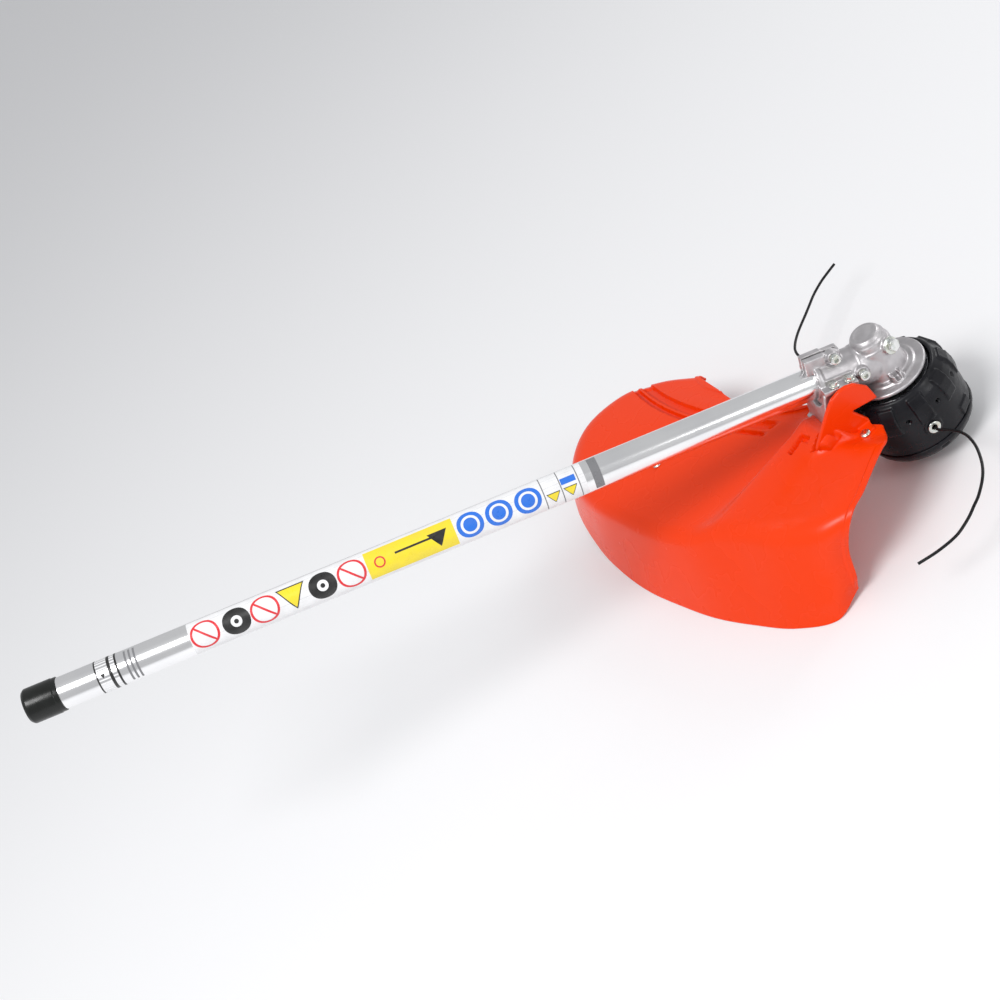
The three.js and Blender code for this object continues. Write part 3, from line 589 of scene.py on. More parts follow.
def make_label():
    """The long label: plain coloured discs, rings and triangles where the real one has pictograms."""
    form = bmesh.new()
    half = 16
    add_band(form, "white_print", 1, -571, -248.5, -half, half)
    for place in (-559, -510.5, -440):
        add_red_ring(form, place)
    for place in (-533.5, -463.5):
        add_black_disc(form, place)
    add_triangle(form, "black_print", 2, -487.5, 23, 20)
    add_triangle(form, "yellow_print", 3, -487.5, 20, 17, 0.4)
    add_band(form, "yellow_print", 2, -427.5, -355.5, -12, 12)
    add_band(form, "black_print", 3, -404, -370, 1.2, 2.8)
    add_disc(form, "red_print", 3, -417, 4.4)
    add_disc(form, "yellow_print", 4, -417, 3.2)
    add_triangle(form, "black_print", 3, -369, 16, 12, -1)
    for place in (-343, -319.5, -295.5):
        add_blue_disc(form, place)
    for place in (-275.5, -261.5):
        add_triangle(form, "black_print", 2, place, 11.4, 8.6, -6)
        add_triangle(form, "yellow_print", 3, place, 9.6, 7, -5.8)
    add_band(form, "blue_print", 2, -267.5, -255.5, 1, 6)
    for place in (-283, -268.8, -254.2):
        add_band(form, "grey_print", 2, place, place + 0.8, -half, half)
    add_band(form, "grey_print", 2, -242.7, -235.6, -half + 2, half - 1)
    finish_object("tube_label", mesh_from(form, LEANED), LABEL_MATERIALS, "tool", [])


def make_depth_marks():
    """The bands near the tube's end that show how far it goes into its coupler."""
    form = bmesh.new()
    around = math.pi * TUBE_RADIUS * 0.999
    for start, end, color in ((-646.3, -645.1, "black_print"), (-645.1, -629.9, "white_print"),
                              (-636, -633.6, "black_print"), (-629.9, -628.3, "black_print")):
        layer = 2 if color == "black_print" else 1
        for half in (0, 1):
            add_band(form, color, layer, start, end, -around + half * around, half * around)
    add_triangle(form, "black_print", 2, -641, 4, 4)
    for start in (-622, -618.4, -614.8):
        add_band(form, "grey_print", 1, start, start + 1.6, -14, 14)
    finish_object("depth_marks", mesh_from(form, LEANED), LABEL_MATERIALS, "tool", [])


# ---- gearcase, bracket and fasteners ----

SLEEVE_RADIUS = 16.5
FLANGE_TOP = -13.4
LOCK_TURN = Matrix.Rotation(math.radians(-88), 4, "Z")
PLUG_PLACE = aimed((0.5, -0.84, 0.2), (6, -9, 12))
CLAMP_PLACE = aimed((0, -1, 0), (-38, 0, 20.5))
LOCK_PLACE = aimed((0, -1, 0), (-21, 0, 3.5))
SHANK_RADIUS = 2.1
DECK_SCREWS = [(-58, -19.5), (-58, 19.5), (-74, -19.5), (-74, 19.5)]
FLANGE_BOLTS = [(-46, -20.8), (-46, 20.8), (-33, -20.8), (-33, 20.8)]
TILT = Matrix.Rotation(LEAN, 4, "Y")


def gearcase_solids():
    form = bmesh.new()
    add_turned(form, [
        (0, -55), (18.3, -55), (18.3, -51.5), (SLEEVE_RADIUS, -49.5), (SLEEVE_RADIUS, -21),
        (SLEEVE_RADIUS + 0.8, -20.4), (SLEEVE_RADIUS + 0.5, -6), (13, 3), (0, 7)],
        80, 0.8, place=TILT @ ALONG_X)
    add_block(form, (-61, -7, 8), (-44, 7, 24.6), TILT)
    add_block(form, (-46, -5.6, 8), (-31, 5.6, 24), TILT)
    for place, radius, reach in ((CLAMP_PLACE, 5, 9), (LOCK_PLACE, 5.4, 18.5)):
        add_rod(form, radius, 0, reach, TILT @ place, 48, 0.6)
    add_block(form, (-56, -25, 0), (-27.5, 25, 4), TILT)
    for side in (-1, 1):
        add_block(form, (-55, side * 15 - 1.2, 3), (-29, side * 15 + 1.2, 8), TILT)
    add_turned(form, [
        (0, FLANGE_TOP - 1), (19, FLANGE_TOP - 1), (17.6, -4), (16.4, 4), (16.4, 14.4), (15.8, 16.2),
        (14.6, 16.6), (14.6, 21.6), (13.4, 22.4), (13.2, 24), (11, 26.6), (8.6, 27), (7.8, 26.2), (0, 26.2)],
        80, 0.5)
    add_turned(form, [
        (0, -20.6), (14.5, -20.6), (14.5, -17), (31.4, -17), (32, -16), (32, -14), (31.2, FLANGE_TOP),
        (24.2, FLANGE_TOP), (23.2, FLANGE_TOP + 1.5), (0, FLANGE_TOP + 1.8)], 112, 0.5)
    add_rod(form, 5.4, FLANGE_TOP - 1, FLANGE_TOP + 7, LOCK_TURN @ Matrix.Translation((20.5, 0, 0)), 48, 0.5)
    add_block(form, (10, -3.2, FLANGE_TOP - 1), (20.5, 3.2, FLANGE_TOP + 5.5), LOCK_TURN)
    add_rod(form, 6.5, -4, 8, PLUG_PLACE, 48, 0.6)
    return form


def gearcase_cavities():
    form = bmesh.new()
    along = TILT @ ALONG_X
    add_rod(form, 13.0, -66, -29, along, 64)
    add_rod(form, 9.8, -32, -16.2, along)
    add_rod(form, 10.7, -17, -2, along)
    add_rod(form, 8.5, -2, 18.7)
    add_rod(form, 14, -10.1, -1)
    add_rod(form, 11.4, -22, -9.9)
    add_block(form, (-66, -1, 9), (-33, 1, 30), TILT)
    add_block(form, (18.4, -2.3, FLANGE_TOP + 1.6), (28, 2.3, FLANGE_TOP + 10), LOCK_TURN)
    return form


def make_gearcase():
    mesh = cast(gearcase_solids(), gearcase_cavities(), UPRIGHT, 0.55, 5)
    finish_object("gearcase_casting", mesh, ["casting"], "tool",
                  ["gearcase_housing"], 60)


def make_bracket():
    solids = bmesh.new()
    add_prism(solids, [(-53.5, 16.8), (-25.9, 7.6), (-24.4, -6.4), (-35, -10.5), (-50, -14), (-50, -23),
                       (-68, -23), (-63, -4)], -21.6, 21.6)
    add_block(solids, (-70, -21.6, -23), (-51.4, 21.6, -19.6))
    cavities = bmesh.new()
    add_prism(cavities, [(-54, -15), (-54, -30), (-64, -30), (-61, -15)], -17.5, 17.5)
    add_rod(cavities, SLEEVE_RADIUS + 2.2, -90, 0, TILT @ ALONG_X, 64)
    add_rod(cavities, 18.9, -40, 30)
    mesh = cast(solids, cavities, UPRIGHT, 0.7, 4)
    finish_object("bracket_casting", mesh, ["casting"], "tool", ["guard_bracket"], 60)


def bevelled(mesh, width):
    def modifiers(helper):
        bevel = helper.modifiers.new("bevel", "BEVEL")
        bevel.width = width
        bevel.segments = 2
        bevel.limit_method = "ANGLE"
        bevel.angle_limit = math.radians(40)
    return applied(mesh, modifiers)


def add_shank(form, length):
    add_rod(form, SHANK_RADIUS, -length, 0.5, sides=24)


def finish_screw(name, node, mesh):
    finish_object(name, mesh, ["zinc"], "tool", [node], 30)


def make_flange_bolt(name, node, matrix, flats, height, length):
    form = bmesh.new()
    flange, waist = flats * 0.78, flats * 0.56
    add_turned(form, [(0, 0), (flange, 0), (flange, 0.8), (waist, 1.5), (0, 1.5)], 48, 0.15)
    add_hexagon(form, flats, 0.5, height)
    add_shank(form, length)
    finish_screw(name, node, bevelled(mesh_from(form, matrix), 0.35 * MM))


def make_socket_screw(name, node, matrix, radius, height, length):
    form = bmesh.new()
    add_turned(form, [(0, 0), (radius, 0), (radius, height), (0, height)], 48, 0.5)
    add_shank(form, length)
    socket = bmesh.new()
    add_hexagon(socket, radius * 1.05, height * 0.4, height + 1)
    mesh = carved(mesh_from(form), mesh_from(socket))
    mesh.transform(matrix)
    finish_screw(name, node, mesh)


def make_pan_screw(name, node, matrix, radius, height, length):
    form = bmesh.new()
    add_turned(form, [(0, 0), (radius, 0), (radius, height * 0.35), (radius * 0.72, height * 0.85),
                      (0, height)], 48, 0.6)
    add_shank(form, length)
    recess = bmesh.new()
    reach, half = radius * 0.55, radius * 0.14
    add_block(recess, (-reach, -half, height * 0.35), (reach, half, height + 1))
    add_block(recess, (-half, -reach, height * 0.35), (half, reach, height + 1))
    mesh = carved(mesh_from(form), mesh_from(recess))
    mesh.transform(matrix)
    finish_screw(name, node, mesh)


def make_fasteners():
    moved = Matrix.Translation
    clamp = LEANED @ CLAMP_PLACE @ moved((0, 0, 9.3))
    make_socket_screw("clamp_bolt", "clamp_screw", clamp, 4, 4.4, 15)
    lock = LEANED @ LOCK_PLACE @ moved((0, 0, 18.8))
    make_socket_screw("lock_bolt", "bearing_lock_screw", lock, 4.2, 4.6, 7)
    plug = UPRIGHT @ PLUG_PLACE @ moved((0, 0, 8.3))
    make_flange_bolt("grease_bolt", "grease_plug", plug, 9, 5, 6)
    for i, (x, y) in enumerate(FLANGE_BOLTS, 1):
        seat = LEANED @ moved((x, y, 4.3))
        make_flange_bolt(f"flange_bolt_{i}", f"bracket_bolt_{i}", seat, 5.4, 4, 8.8)
    over = Matrix.Rotation(math.pi, 4, "X")
    for i, (x, y) in enumerate(DECK_SCREWS, 1):
        seat = UPRIGHT @ moved((x, y, -27.3)) @ over
        make_pan_screw(f"deck_screw_{i}", f"guard_bolt_{i}", seat, 4.6, 3, 3)
    corner = UPRIGHT @ moved((-45, -37.5, -23.4))
    make_pan_screw("corner_screw", "guard_screw", corner, 4.4, 2.4, 7.8)
    blade = UPRIGHT @ moved((-192, 104, -30.3))
    make_pan_screw("blade_screw", "knife_screw", blade, 4, 2.2, 11.8)


# ---- line head ----

EYELET_HEIGHT = -52.0
HEAD_RADIUS = 46.0


def make_head_housing():
    solids = bmesh.new()
    add_turned(solids, [
        (36, -18.6), (37.4, -20.4), (41.2, -27), (43.6, -34), (44.6, -42), (44.6, -60), (44.2, -69.7),
        (42.2, -69.7), (43.2, -60), (43.2, -42), (42, -35), (39, -28.4), (5, -28.4), (5, -25), (33, -25),
        (33.6, -18.6)], 112, 0.5, closed=True)
    blocks = 10
    block = [(38, -21.5), (40.4, -21.9), (44.3, -29), (45.8, -37), (45.8, -44.5), (42, -46)]
    for i in range(blocks):
        turn = Matrix.Rotation(2 * math.pi * (i + 0.5) / blocks, 4, "Z")
        add_prism_turned(solids, block, 6.2, turn)
    for side in (-1, 1):
        add_rod(solids, 7.4, 40, HEAD_RADIUS - 0.4, aimed((0, side, 0), (0, 0, EYELET_HEIGHT)), 48, 0.5)
        turn = Matrix.Rotation(side * math.pi / 2 + 0.75, 4, "Z")
        add_block(solids, (42, -7, -67.5), (HEAD_RADIUS - 0.2, 7, -59), turn)
    cavities = bmesh.new()
    for side in (-1, 1):
        add_rod(cavities, 3.9, 36, 52, aimed((0, side, 0), (0, 0, EYELET_HEIGHT)))
    for i in range(blocks):
        turn = Matrix.Rotation(2 * math.pi * i / blocks, 4, "Z")
        add_rod(cavities, 2.2, 43.4, 50, turn @ aimed((1, 0, 0.18), (0, 0, -45)), 24)
    mesh = cast(solids, cavities, UPRIGHT, 0.6, 3)
    finish_object("head_moulding", mesh, ["black"], "head", ["head_housing"], 60)


def add_prism_turned(form, outline, half, turn):
    """A block with its outline in a plane through the output axis, half as thick to each side."""
    start = len(form.verts)
    add_prism(form, outline, -half, half)
    form.verts.ensure_lookup_table()
    bmesh.ops.transform(form, matrix=turn, verts=form.verts[start:])


def make_head_cover():
    solids = bmesh.new()
    add_turned(solids, [
        (42, -67), (42, -70), (45, -70), (45, -73), (44, -76), (41, -80.4), (19.4, -80.4), (19.4, -77.8),
        (39.6, -77.8), (40, -67)], 112, 0.6, closed=True)
    cavities = bmesh.new()
    count = 6
    for i in range(count):
        turn = Matrix.Rotation(2 * math.pi * (i + 0.5) / count, 4, "Z")
        add_block(cavities, (42.6, -4, -90), (50, 4, -74), turn)
        add_block(cavities, (24, -2, -82), (36, 2, -79.6), turn)
    mesh = cast(solids, cavities, UPRIGHT, 0.6, 3)
    finish_object("cover_moulding", mesh, ["black"], "head", ["head_cover"], 60)


def make_knob():
    """The knob, with finger lobes round its rim."""
    form = bmesh.new()
    rim, neck, lobes, lobe_depth = 24, 18.6, 12, 0.035
    add_turned(form, [
        (0, GROUND + 0.4), (12, GROUND + 0.4), (13, GROUND), (19, GROUND), (rim, GROUND + 4),
        (rim, GROUND + 8), (18.4, GROUND + 9), (18.4, -66.9), (8.6, -66.9), (8.6, -62.3), (0, -62.3)],
        120, 1.2)
    for vertex in form.verts:
        radius = math.hypot(vertex.co.x, vertex.co.y)
        if radius > neck:
            angle = math.atan2(vertex.co.y, vertex.co.x)
            wave = 0.5 - 0.5 * math.cos(lobes * angle)
            shrink = 1 - lobe_depth * wave * (radius - neck) / (rim - neck)
            vertex.co.x *= shrink
            vertex.co.y *= shrink
    mesh = mesh_from(form, UPRIGHT)
    finish_object("knob_moulding", mesh, ["black"], "knob", ["bump_knob"])


def make_eyelet(name, node, side):
    form = bmesh.new()
    rim = HEAD_RADIUS
    add_turned(form, [
        (2.2, rim - 3.6), (3.6, rim - 3.6), (3.6, rim + 0.2), (5.2, rim + 0.3), (5.3, rim + 1),
        (4.6, rim + 1.6), (3.0, rim + 1.5), (2.2, rim + 0.8)], 64, 0.5, closed=True,
        place=aimed((0, side, 0), (0, 0, EYELET_HEIGHT)))
    finish_object(name, mesh_from(form, UPRIGHT), ["zinc"], "head", [node], 50)


def make_adapter():
    form = bmesh.new()
    outline = [(4.4, -24.6), (30, -24.6), (31, -23.8), (31, -21.4), (4.4, -21.2)]
    add_turned(form, outline, 112, 0.3, closed=True)
    mesh = mesh_from(form, UPRIGHT)
    finish_object("adapter_disc", mesh, ["steel"], "head", ["adapter_plate"])


def make_spring():
    """The coil above the spool, built at one length; the real one shortens as the knob is bumped."""
    form = bmesh.new()
    coil_radius, wire_radius, bottom, top = 11.7, 0.7, -60.8, -29.2
    turns, per_turn, sides = 5, 40, 10
    rings = []
    for i in range(turns * per_turn + 1):
        angle = 2 * math.pi * i / per_turn
        outwards = Vector((math.cos(angle), math.sin(angle), 0))
        centre = outwards * coil_radius + Vector((0, 0, bottom + (top - bottom) * i / (turns * per_turn)))
        ring = []
        for k in range(sides):
            around = 2 * math.pi * k / sides
            rim = outwards * math.cos(around) + Vector((0, 0, math.sin(around)))
            ring.append(form.verts.new(centre + rim * wire_radius))
        rings.append(ring)
    for first, second in zip(rings, rings[1:]):
        for k in range(sides):
            form.faces.new((first[k], first[(k + 1) % sides], second[(k + 1) % sides], second[k]))
    form.faces.new(rings[0])
    form.faces.new(list(reversed(rings[-1])))
    spring = finish_object("spring_coil", mesh_from(form, UPRIGHT), ["bearing"], "head",
                           ["bump_spring"])
    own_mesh(spring)


# ---- cutting lines ----

LINE_RADIUS = 1.2
LINE_START = HEAD_RADIUS + 1.9
RIGHT_ROUTE = [
    (0, -LINE_START), (1, -52), (6, -59), (11, -68), (13, -77), (13, -85), (12, -93), (10, -101),
    (7, -110), (3, -118.5), (-2, -126), (-8, -133), (-13, -138), (-19, -142.5), (-26, -148),
    (-33.5, -152.5), (-41, -156), (-48.5, -157.5), (-61.5, -158), (-76.5, -156.5)]
LEFT_ROUTE = [
    (0, LINE_START), (-1, 54), (-6, 65), (-14, 78), (-22, 90), (-29, 102), (-35, 114), (-39, 125),
    (-41, 135), (-40, 144), (-36, 152), (-29, 161), (-22, 168), (-14.4, 175), (-5, 184), (3.2, 192),
    (11, 198), (18.8, 203), (27, 207), (35.8, 211)]


def catmull_rom(points, shares):
    """Points at shares of a centripetal Catmull-Rom curve, spaced by control point."""
    points = np.asarray(points, float)
    padded = np.vstack([2 * points[0] - points[1], points, 2 * points[-1] - points[-2]])
    result = []
    for share in shares:
        place = share * (len(points) - 1)
        i = min(int(place), len(points) - 2)
        w = place - i
        p0, p1, p2, p3 = padded[i:i + 4]
        d0, d1, d2 = (np.linalg.norm(b - a) ** 0.5 for a, b in ((p0, p1), (p1, p2), (p2, p3)))
        m1 = ((p1 - p0) / d0 - (p2 - p0) / (d0 + d1) + (p2 - p1) / d1) * d1
        m2 = ((p2 - p1) / d1 - (p3 - p1) / (d1 + d2) + (p3 - p2) / d2) * d1
        result.append(p1 + w * (m1 + w * (3 * (p2 - p1) - 2 * m1 - m2 + w * (2 * (p1 - p2) + m1 + m2))))
    return np.array(result)


def make_line(name, node, route):
    steps = 120
    plan = catmull_rom(route, [i / steps for i in range(steps + 1)])
    points = [UPRIGHT @ Vector((x, y, EYELET_HEIGHT)) for x, y in plan]
    curve = bpy.data.curves.new(name, "CURVE")
    curve.dimensions = "3D"
    curve.bevel_depth = LINE_RADIUS * MM
    curve.bevel_resolution = 4
    curve.use_fill_caps = True
    spline = curve.splines.new("POLY")
    spline.points.add(len(points) - 1)
    for target, point in zip(spline.points, points):
        target.co = (*point, 1)
    curve.materials.append(MATERIALS["line"])
    piece = scene_object(name, curve)
    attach(piece, "head")
    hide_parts(node)


# ---- guard ----

DECK_TOP = -23.7
SKIN = 2.8
# From the right edge to the left edge: [rearward, left, height] at the inner edge, the shoulder and the rim.
GUARD_STATIONS = [
    ((33, -38, DECK_TOP), (103, -93, -27), (121, -102, -88)),
    ((38, -31, DECK_TOP), (122, -86, -25), (148, -110, GROUND)),
    ((44, -22, DECK_TOP), (146, -66, -25), (178, -90, GROUND)),
    ((48, -12, DECK_TOP), (168, -36, -25), (204, -58, GROUND)),
    ((49.5, -4, DECK_TOP), (187, -12, -27), (227, -24, GROUND)),
    ((49.5, 3, DECK_TOP), (206, 8, -33), (246, 14, GROUND)),
    ((49, 8, DECK_TOP), (226, 42, -35), (263, 54, GROUND)),
    ((49, 13, DECK_TOP), (244, 84, -35), (275, 98, GROUND)),
    ((50, 18, DECK_TOP), (258, 124, -35), (281, 138, -90)),
    ((54, 24, DECK_TOP), (262, 164, -35), (278, 178, -72)),
    ((62, 30, DECK_TOP), (250, 200, -35), (260, 212, -55)),
    ((76, 40, DECK_TOP), (224, 225, -35), (229, 235, -47)),
    ((92, 58, DECK_TOP - 1), (184, 228, -35), (183, 236, -45)),
    ((104, 85, DECK_TOP - 3), (150, 208, -35), (146, 213, -44)),
    ((111, 122, DECK_TOP - 5), (120, 176, -34), (115, 178, -42)),
]
CREST_START = (-57, 14)  # the step between the guard's raised right part and its lower left part
CREST_END = (-200, -10)
CHANNEL = [(-173, 216), (-165, 130), (-104, 34)]  # outer edge of the curved channel, as a Bezier curve
CHANNEL_WIDTH = 15
EDGE_SWELL = 16
EDGE_OUTWARDS = (0.618, -0.786, 0)
TAB_CORNER = (-99.5, -9.7)
TAB_TURN = math.radians(16)
TAB_SKEW = 0.75


def smoothstep(value, low, high):
    share = np.clip((value - low) / (high - low), 0, 1)
    return share * share * (3 - 2 * share)


def plateau(value, low, high, edge):
    """1 between low and high, falling to 0 over an edge to each side."""
    return smoothstep(value, low - edge, low) * (1 - smoothstep(value, high, high + edge))


def guard_rib(inner, shoulder, rim, rows):
    """Points down one rib of the guard: level by the bracket, sloping, round the shoulder, to the rim."""
    deck_end = shoulder + (inner - shoulder) * 14 / np.linalg.norm(inner - shoulder)
    fall = rim - shoulder
    skirt_start = shoulder + fall * min(0.35, 12 / np.linalg.norm(fall))
    line = []
    for share in np.linspace(0, 0.98, 80):
        point = inner + (deck_end - inner) * share
        slope = max(0, (share - 0.2) / 0.8)
        point[2] = inner[2] + (deck_end[2] - inner[2]) * slope
        line.append(point)
    for t in np.linspace(0, 1, 13):
        line.append((1 - t) ** 2 * deck_end + 2 * t * (1 - t) * shoulder + t * t * skirt_start)
    for share in np.linspace(0, 1, 30)[1:]:
        line.append(skirt_start + (rim - skirt_start) * share)
    line = np.array(line)
    line[:, 2] = np.maximum(line[:, 2], GROUND)
    run = np.concatenate([[0], np.cumsum(np.linalg.norm(np.diff(line, axis=0), axis=1))])
    places = np.linspace(0, run[-1], rows)
    return np.stack([np.interp(places, run, line[:, axis]) for axis in range(3)], axis=1)


def grid_normals(grid):
    across = np.gradient(grid, axis=0)
    along = np.gradient(grid, axis=1)
    normals = np.cross(across, along)
    if normals[:, :, 2].mean() < 0:
        normals = -normals
    # Averaging over the neighbours keeps the skin even where its columns crowd together.
    reach = 5
    padded = np.pad(normals, ((reach, reach), (reach, reach), (0, 0)), mode="edge")
    columns, rows = normals.shape[:2]
    total = np.zeros_like(normals)
    for i in range(2 * reach + 1):
        for j in range(2 * reach + 1):
            total += padded[i:i + columns, j:j + rows]
    return total / np.linalg.norm(total, axis=2, keepdims=True)


def curve_distance(x, y, control):
    """Signed distance from a quadratic Bezier curve, positive on its inner side."""
    p0, p1, p2 = (np.array(point, float) for point in control)
    t = np.linspace(-0.05, 1, 90)[:, None]
    curve = (1 - t) ** 2 * p0 + 2 * t * (1 - t) * p1 + t ** 2 * p2
    tangent = np.gradient(curve, axis=0)
    offset = np.stack([x.ravel(), y.ravel()], 1)[:, None, :] - curve[None]
    nearest = np.argmin((offset ** 2).sum(2), axis=1)
    rows = np.arange(len(nearest))
    gap = offset[rows, nearest]
    side = tangent[nearest, 0] * gap[:, 1] - tangent[nearest, 1] * gap[:, 0]
    return (np.linalg.norm(gap, axis=1) * np.sign(side)).reshape(x.shape)


def saddle_relief(x, y):
    """The raised right part, with its crest along the line that leads back from the bracket."""
    start, end = np.array(CREST_START, float), np.array(CREST_END, float)
    run = end - start
    length = np.linalg.norm(run)
    run /= length
    along = (x - start[0]) * run[0] + (y - start[1]) * run[1]
    right = (y - start[1]) * run[0] - (x - start[0]) * run[1]
    raised = smoothstep(right, -7, 6)
    reach = 1 - smoothstep(along, 20, length * 0.98)
    low_side = 1 - 0.55 * smoothstep(right, 8, 70)
    return 11 * raised * low_side * reach * smoothstep(np.hypot(x, y), 60, 78)


def bracket_mound(x, y):
    """The rise that carries the deck up the bracket's right side and round behind it."""
    rearward = 1 - smoothstep(-x, 56, 94)
    leftward = 1 - 0.72 * np.clip((y + 27) / 45, 0, 1)
    rightward = smoothstep(y, -37, -27)
    leftmost = 1 - smoothstep(y, 16, 30)
    clear_of_head = smoothstep(np.hypot(x, y), 56, 68)
    return 14 * rearward * leftward * rightward * leftmost * clear_of_head


def channel_relief(x, y):
    """A shallow curved channel on the left part, with a raised rib along its middle."""
    side = curve_distance(x, y, CHANNEL)
    stretch = smoothstep(y, 38, 50)
    floor = -5 * plateau(side, 0.5, CHANNEL_WIDTH, 0.8)
    rib = 4 * plateau(side, 5.0, 7.4, 0.8)
    return (floor + rib) * stretch


def tab_relief(x, y):
    """A slot and a sprung tab beside the bracket, in a frame turned to lie along them."""
    dx, dy = x - TAB_CORNER[0], y - TAB_CORNER[1]
    along = dx * math.cos(TAB_TURN) + dy * math.sin(TAB_TURN)
    across = dx * math.sin(TAB_TURN) - dy * math.cos(TAB_TURN)
    leg = plateau(along, 0, 17, 1) * plateau(across, 0, 3.6, 1)
    bar = plateau(along, 13.4, 17, 1) * plateau(across, 0, 11, 1)
    skewed = along - TAB_SKEW * (across - 20)
    frame_out = plateau(skewed, 9, 22, 1) * plateau(across, 20, 32, 1)
    frame_in = plateau(skewed, 12, 19.4, 1) * plateau(across, 22.8, 29.4, 1)
    return -5 * (np.maximum(leg, bar) + frame_out - frame_in)


def guard_relief(grid):
    x, y = grid[:, :, 0], grid[:, :, 1]
    return saddle_relief(x, y) + bracket_mound(x, y) + channel_relief(x, y) + tab_relief(x, y)


def edge_bead(grid):
    """A rounded bead along the guard's two side edges."""
    gaps = np.linalg.norm(np.diff(grid, axis=0), axis=2)
    from_right = np.vstack([np.zeros(grid.shape[1]), np.cumsum(gaps, axis=0)])
    from_left = from_right[-1] - from_right
    rows = np.linspace(0, 1, grid.shape[1])[None, :]
    bead = 1.4 * plateau(from_right, 0, 4.2, 2.2) * smoothstep(rows, 0.1, 0.25)
    return bead + 1.2 * plateau(from_left, 0, 3.8, 2.0) * smoothstep(rows, 0.05, 0.2)


def swell_right_edge(grid):
    """Carry the deck's right edge outwards between the bracket and the shoulder."""
    gaps = np.linalg.norm(np.diff(grid, axis=0), axis=2)
    from_edge = np.vstack([np.zeros(grid.shape[1]), np.cumsum(gaps, axis=0)])
    rows = np.linspace(0, 1, grid.shape[1])[None, :]
    outwards = EDGE_SWELL * smoothstep(rows, -0.05, 0.14) * (1 - smoothstep(rows, 0.42, 0.8))
    shift = outwards * (1 - smoothstep(from_edge, 0, 60))
    return grid + shift[:, :, None] * np.array(EDGE_OUTWARDS)


def rim_loop(columns, rows):
    """Grid places all the way round the guard's edge."""
    loop = [(i, 0) for i in range(columns)]
    loop += [(columns - 1, j) for j in range(1, rows)]
    loop += [(i, rows - 1) for i in range(columns - 2, -1, -1)]
    loop += [(0, j) for j in range(rows - 2, 0, -1)]
    return loop


def rim_middles(grid, under, normals, loop):
    """Points half way through the thickness, pushed outwards so that the guard's edge is rounded."""
    at = tuple(np.array(loop).T)
    tangents = np.roll(grid[at], -3, axis=0) - np.roll(grid[at], 3, axis=0)
    outwards = np.cross(tangents, normals[at])
    outwards /= np.linalg.norm(outwards, axis=1, keepdims=True)
    if (outwards * (grid[at] - grid.mean(axis=(0, 1)))).sum() < 0:
        outwards = -outwards
    middles = (grid[at] + under[at]) / 2 + 0.7 * outwards
    middles[:, 2] = np.maximum(middles[:, 2], GROUND)
    return middles


def guard_skins(columns, rows):
    """The guard's upper and under surfaces, as grids of points, with the upper one's normals."""
    even = np.linspace(0, 1, columns)
    shares = 0.45 * even + 0.55 * (0.5 - 0.5 * np.cos(math.pi * even))  # closer towards the side edges
    turn = np.array([-1, 1, 1])
    edges = [catmull_rom([np.array(s[k]) * turn for s in GUARD_STATIONS], shares) for k in range(3)]
    grid = np.array([guard_rib(a, b, c, rows) for a, b, c in zip(*edges)])
    grid = swell_right_edge(grid)
    relief = guard_relief(grid) + edge_bead(grid)
    relief *= 1 - smoothstep(np.linspace(0, 1, rows), 0.9, 1.0)[None, :]
    grid = grid + grid_normals(grid) * relief[:, :, None]
    normals = grid_normals(grid)
    normals[:, -1, 2] = 0
    normals /= np.linalg.norm(normals, axis=2, keepdims=True)
    under = grid - normals * SKIN
    for skin in (grid, under):
        skin[:, :, 2] = np.maximum(skin[:, :, 2], GROUND)
    return grid, under, normals


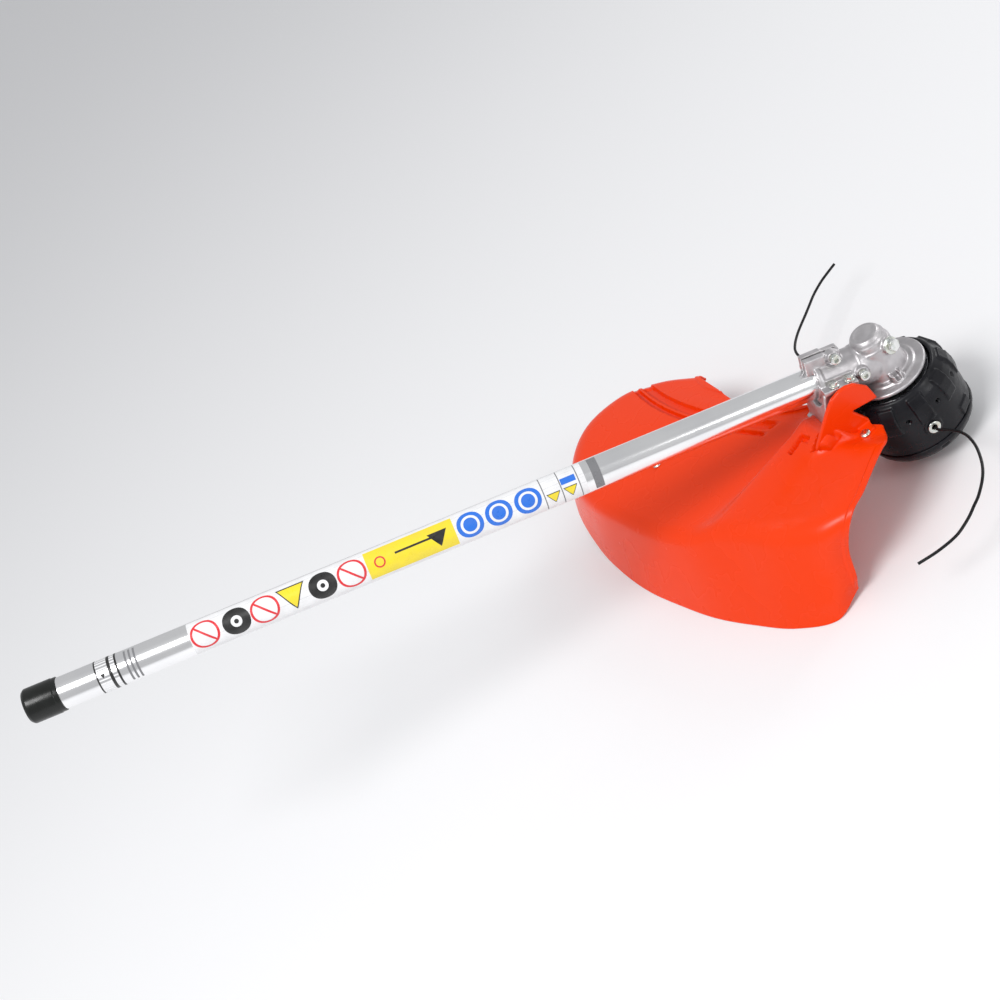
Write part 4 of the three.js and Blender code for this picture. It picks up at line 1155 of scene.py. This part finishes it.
def make_guard():
    columns, rows = 420, 250
    grid, under, normals = guard_skins(columns, rows)
    form = bmesh.new()
    outer = [[form.verts.new(point) for point in rib] for rib in grid]
    inner = [[form.verts.new(point) for point in rib] for rib in under]
    for i in range(columns - 1):
        for j in range(rows - 1):
            form.faces.new((outer[i][j], outer[i + 1][j], outer[i + 1][j + 1], outer[i][j + 1]))
            form.faces.new((inner[i][j + 1], inner[i + 1][j + 1], inner[i + 1][j], inner[i][j]))
    loop = rim_loop(columns, rows)
    middles = rim_middles(grid, under, normals, loop)
    edge = [(outer[i][j], form.verts.new(middle), inner[i][j]) for (i, j), middle in zip(loop, middles)]
    for first, second in zip(edge, edge[1:] + edge[:1]):
        for k in (0, 1):
            form.faces.new((first[k], second[k], second[k + 1], first[k + 1]))
    mesh = mesh_from(form, UPRIGHT)
    finish_object("guard_moulding", mesh, ["orange"], "tool", ["guard_shell"], 50)


def make_guard_hood():
    """The part of the guard that rises beside the bracket and hooks over its front corner."""
    solids = bmesh.new()
    side = [(-86, -24), (-82, -14), (-71, -3), (-63, 5), (-58, 10), (-51, 15.5), (-43, 18), (-37, 18),
            (-30, 15), (-22.5, 5), (-21, -9), (-43, -5), (-35.5, -21), (-36, -24)]
    add_prism(solids, side, -29.4, -25.6)
    add_prism(solids, [(-34, -6), (-34, 8), (-24, 4), (-22, -8.4)], -28, -23.8)
    add_block(solids, (-47, -40, -25.5), (-36.5, -27, -22.2))
    mesh = remeshed(mesh_from(solids), 0.6, 8)
    mesh.transform(UPRIGHT)
    finish_object("guard_hood", mesh, ["orange"], "tool", [], 60)


# ---- CAD nodes that are shown as they are ----

def dress_cad_nodes():
    finishes = {
        "steel": ["drive_shaft", "input_pinion", "pinion_snap_ring", "output_shaft", "output_gear",
                  "line_knife"],
        "bearing": ["pinion_bearing_front", "pinion_bearing_rear", "output_bearing_upper",
                    "output_bearing_lower"],
        "rubber": ["output_oil_seal"] + [f"shaft_bush_{i}" for i in range(1, 5)],
        "zinc": ["arbor_nut"],
        "nylon": ["line_spool"],
        "line": ["line_winding"],
    }
    for key, nodes in finishes.items():
        for node in nodes:
            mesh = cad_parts[node].data
            mesh.materials.clear()
            mesh.materials.append(MATERIALS[key])


# ---- the whole scene ----

add_camera()
make_line("line_right", "cutting_line_right", RIGHT_ROUTE)
make_line("line_left", "cutting_line_left", LEFT_ROUTE)
add_surroundings()
add_floor()
make_tube()
make_cap()
make_label()
make_depth_marks()
make_gearcase()
make_bracket()
make_fasteners()
make_head_housing()
make_head_cover()
make_knob()
make_eyelet("eyelet_ring_right", "eyelet_right", -1)
make_eyelet("eyelet_ring_left", "eyelet_left", 1)
make_adapter()
make_spring()
make_guard()
make_guard_hood()
dress_cad_nodes()
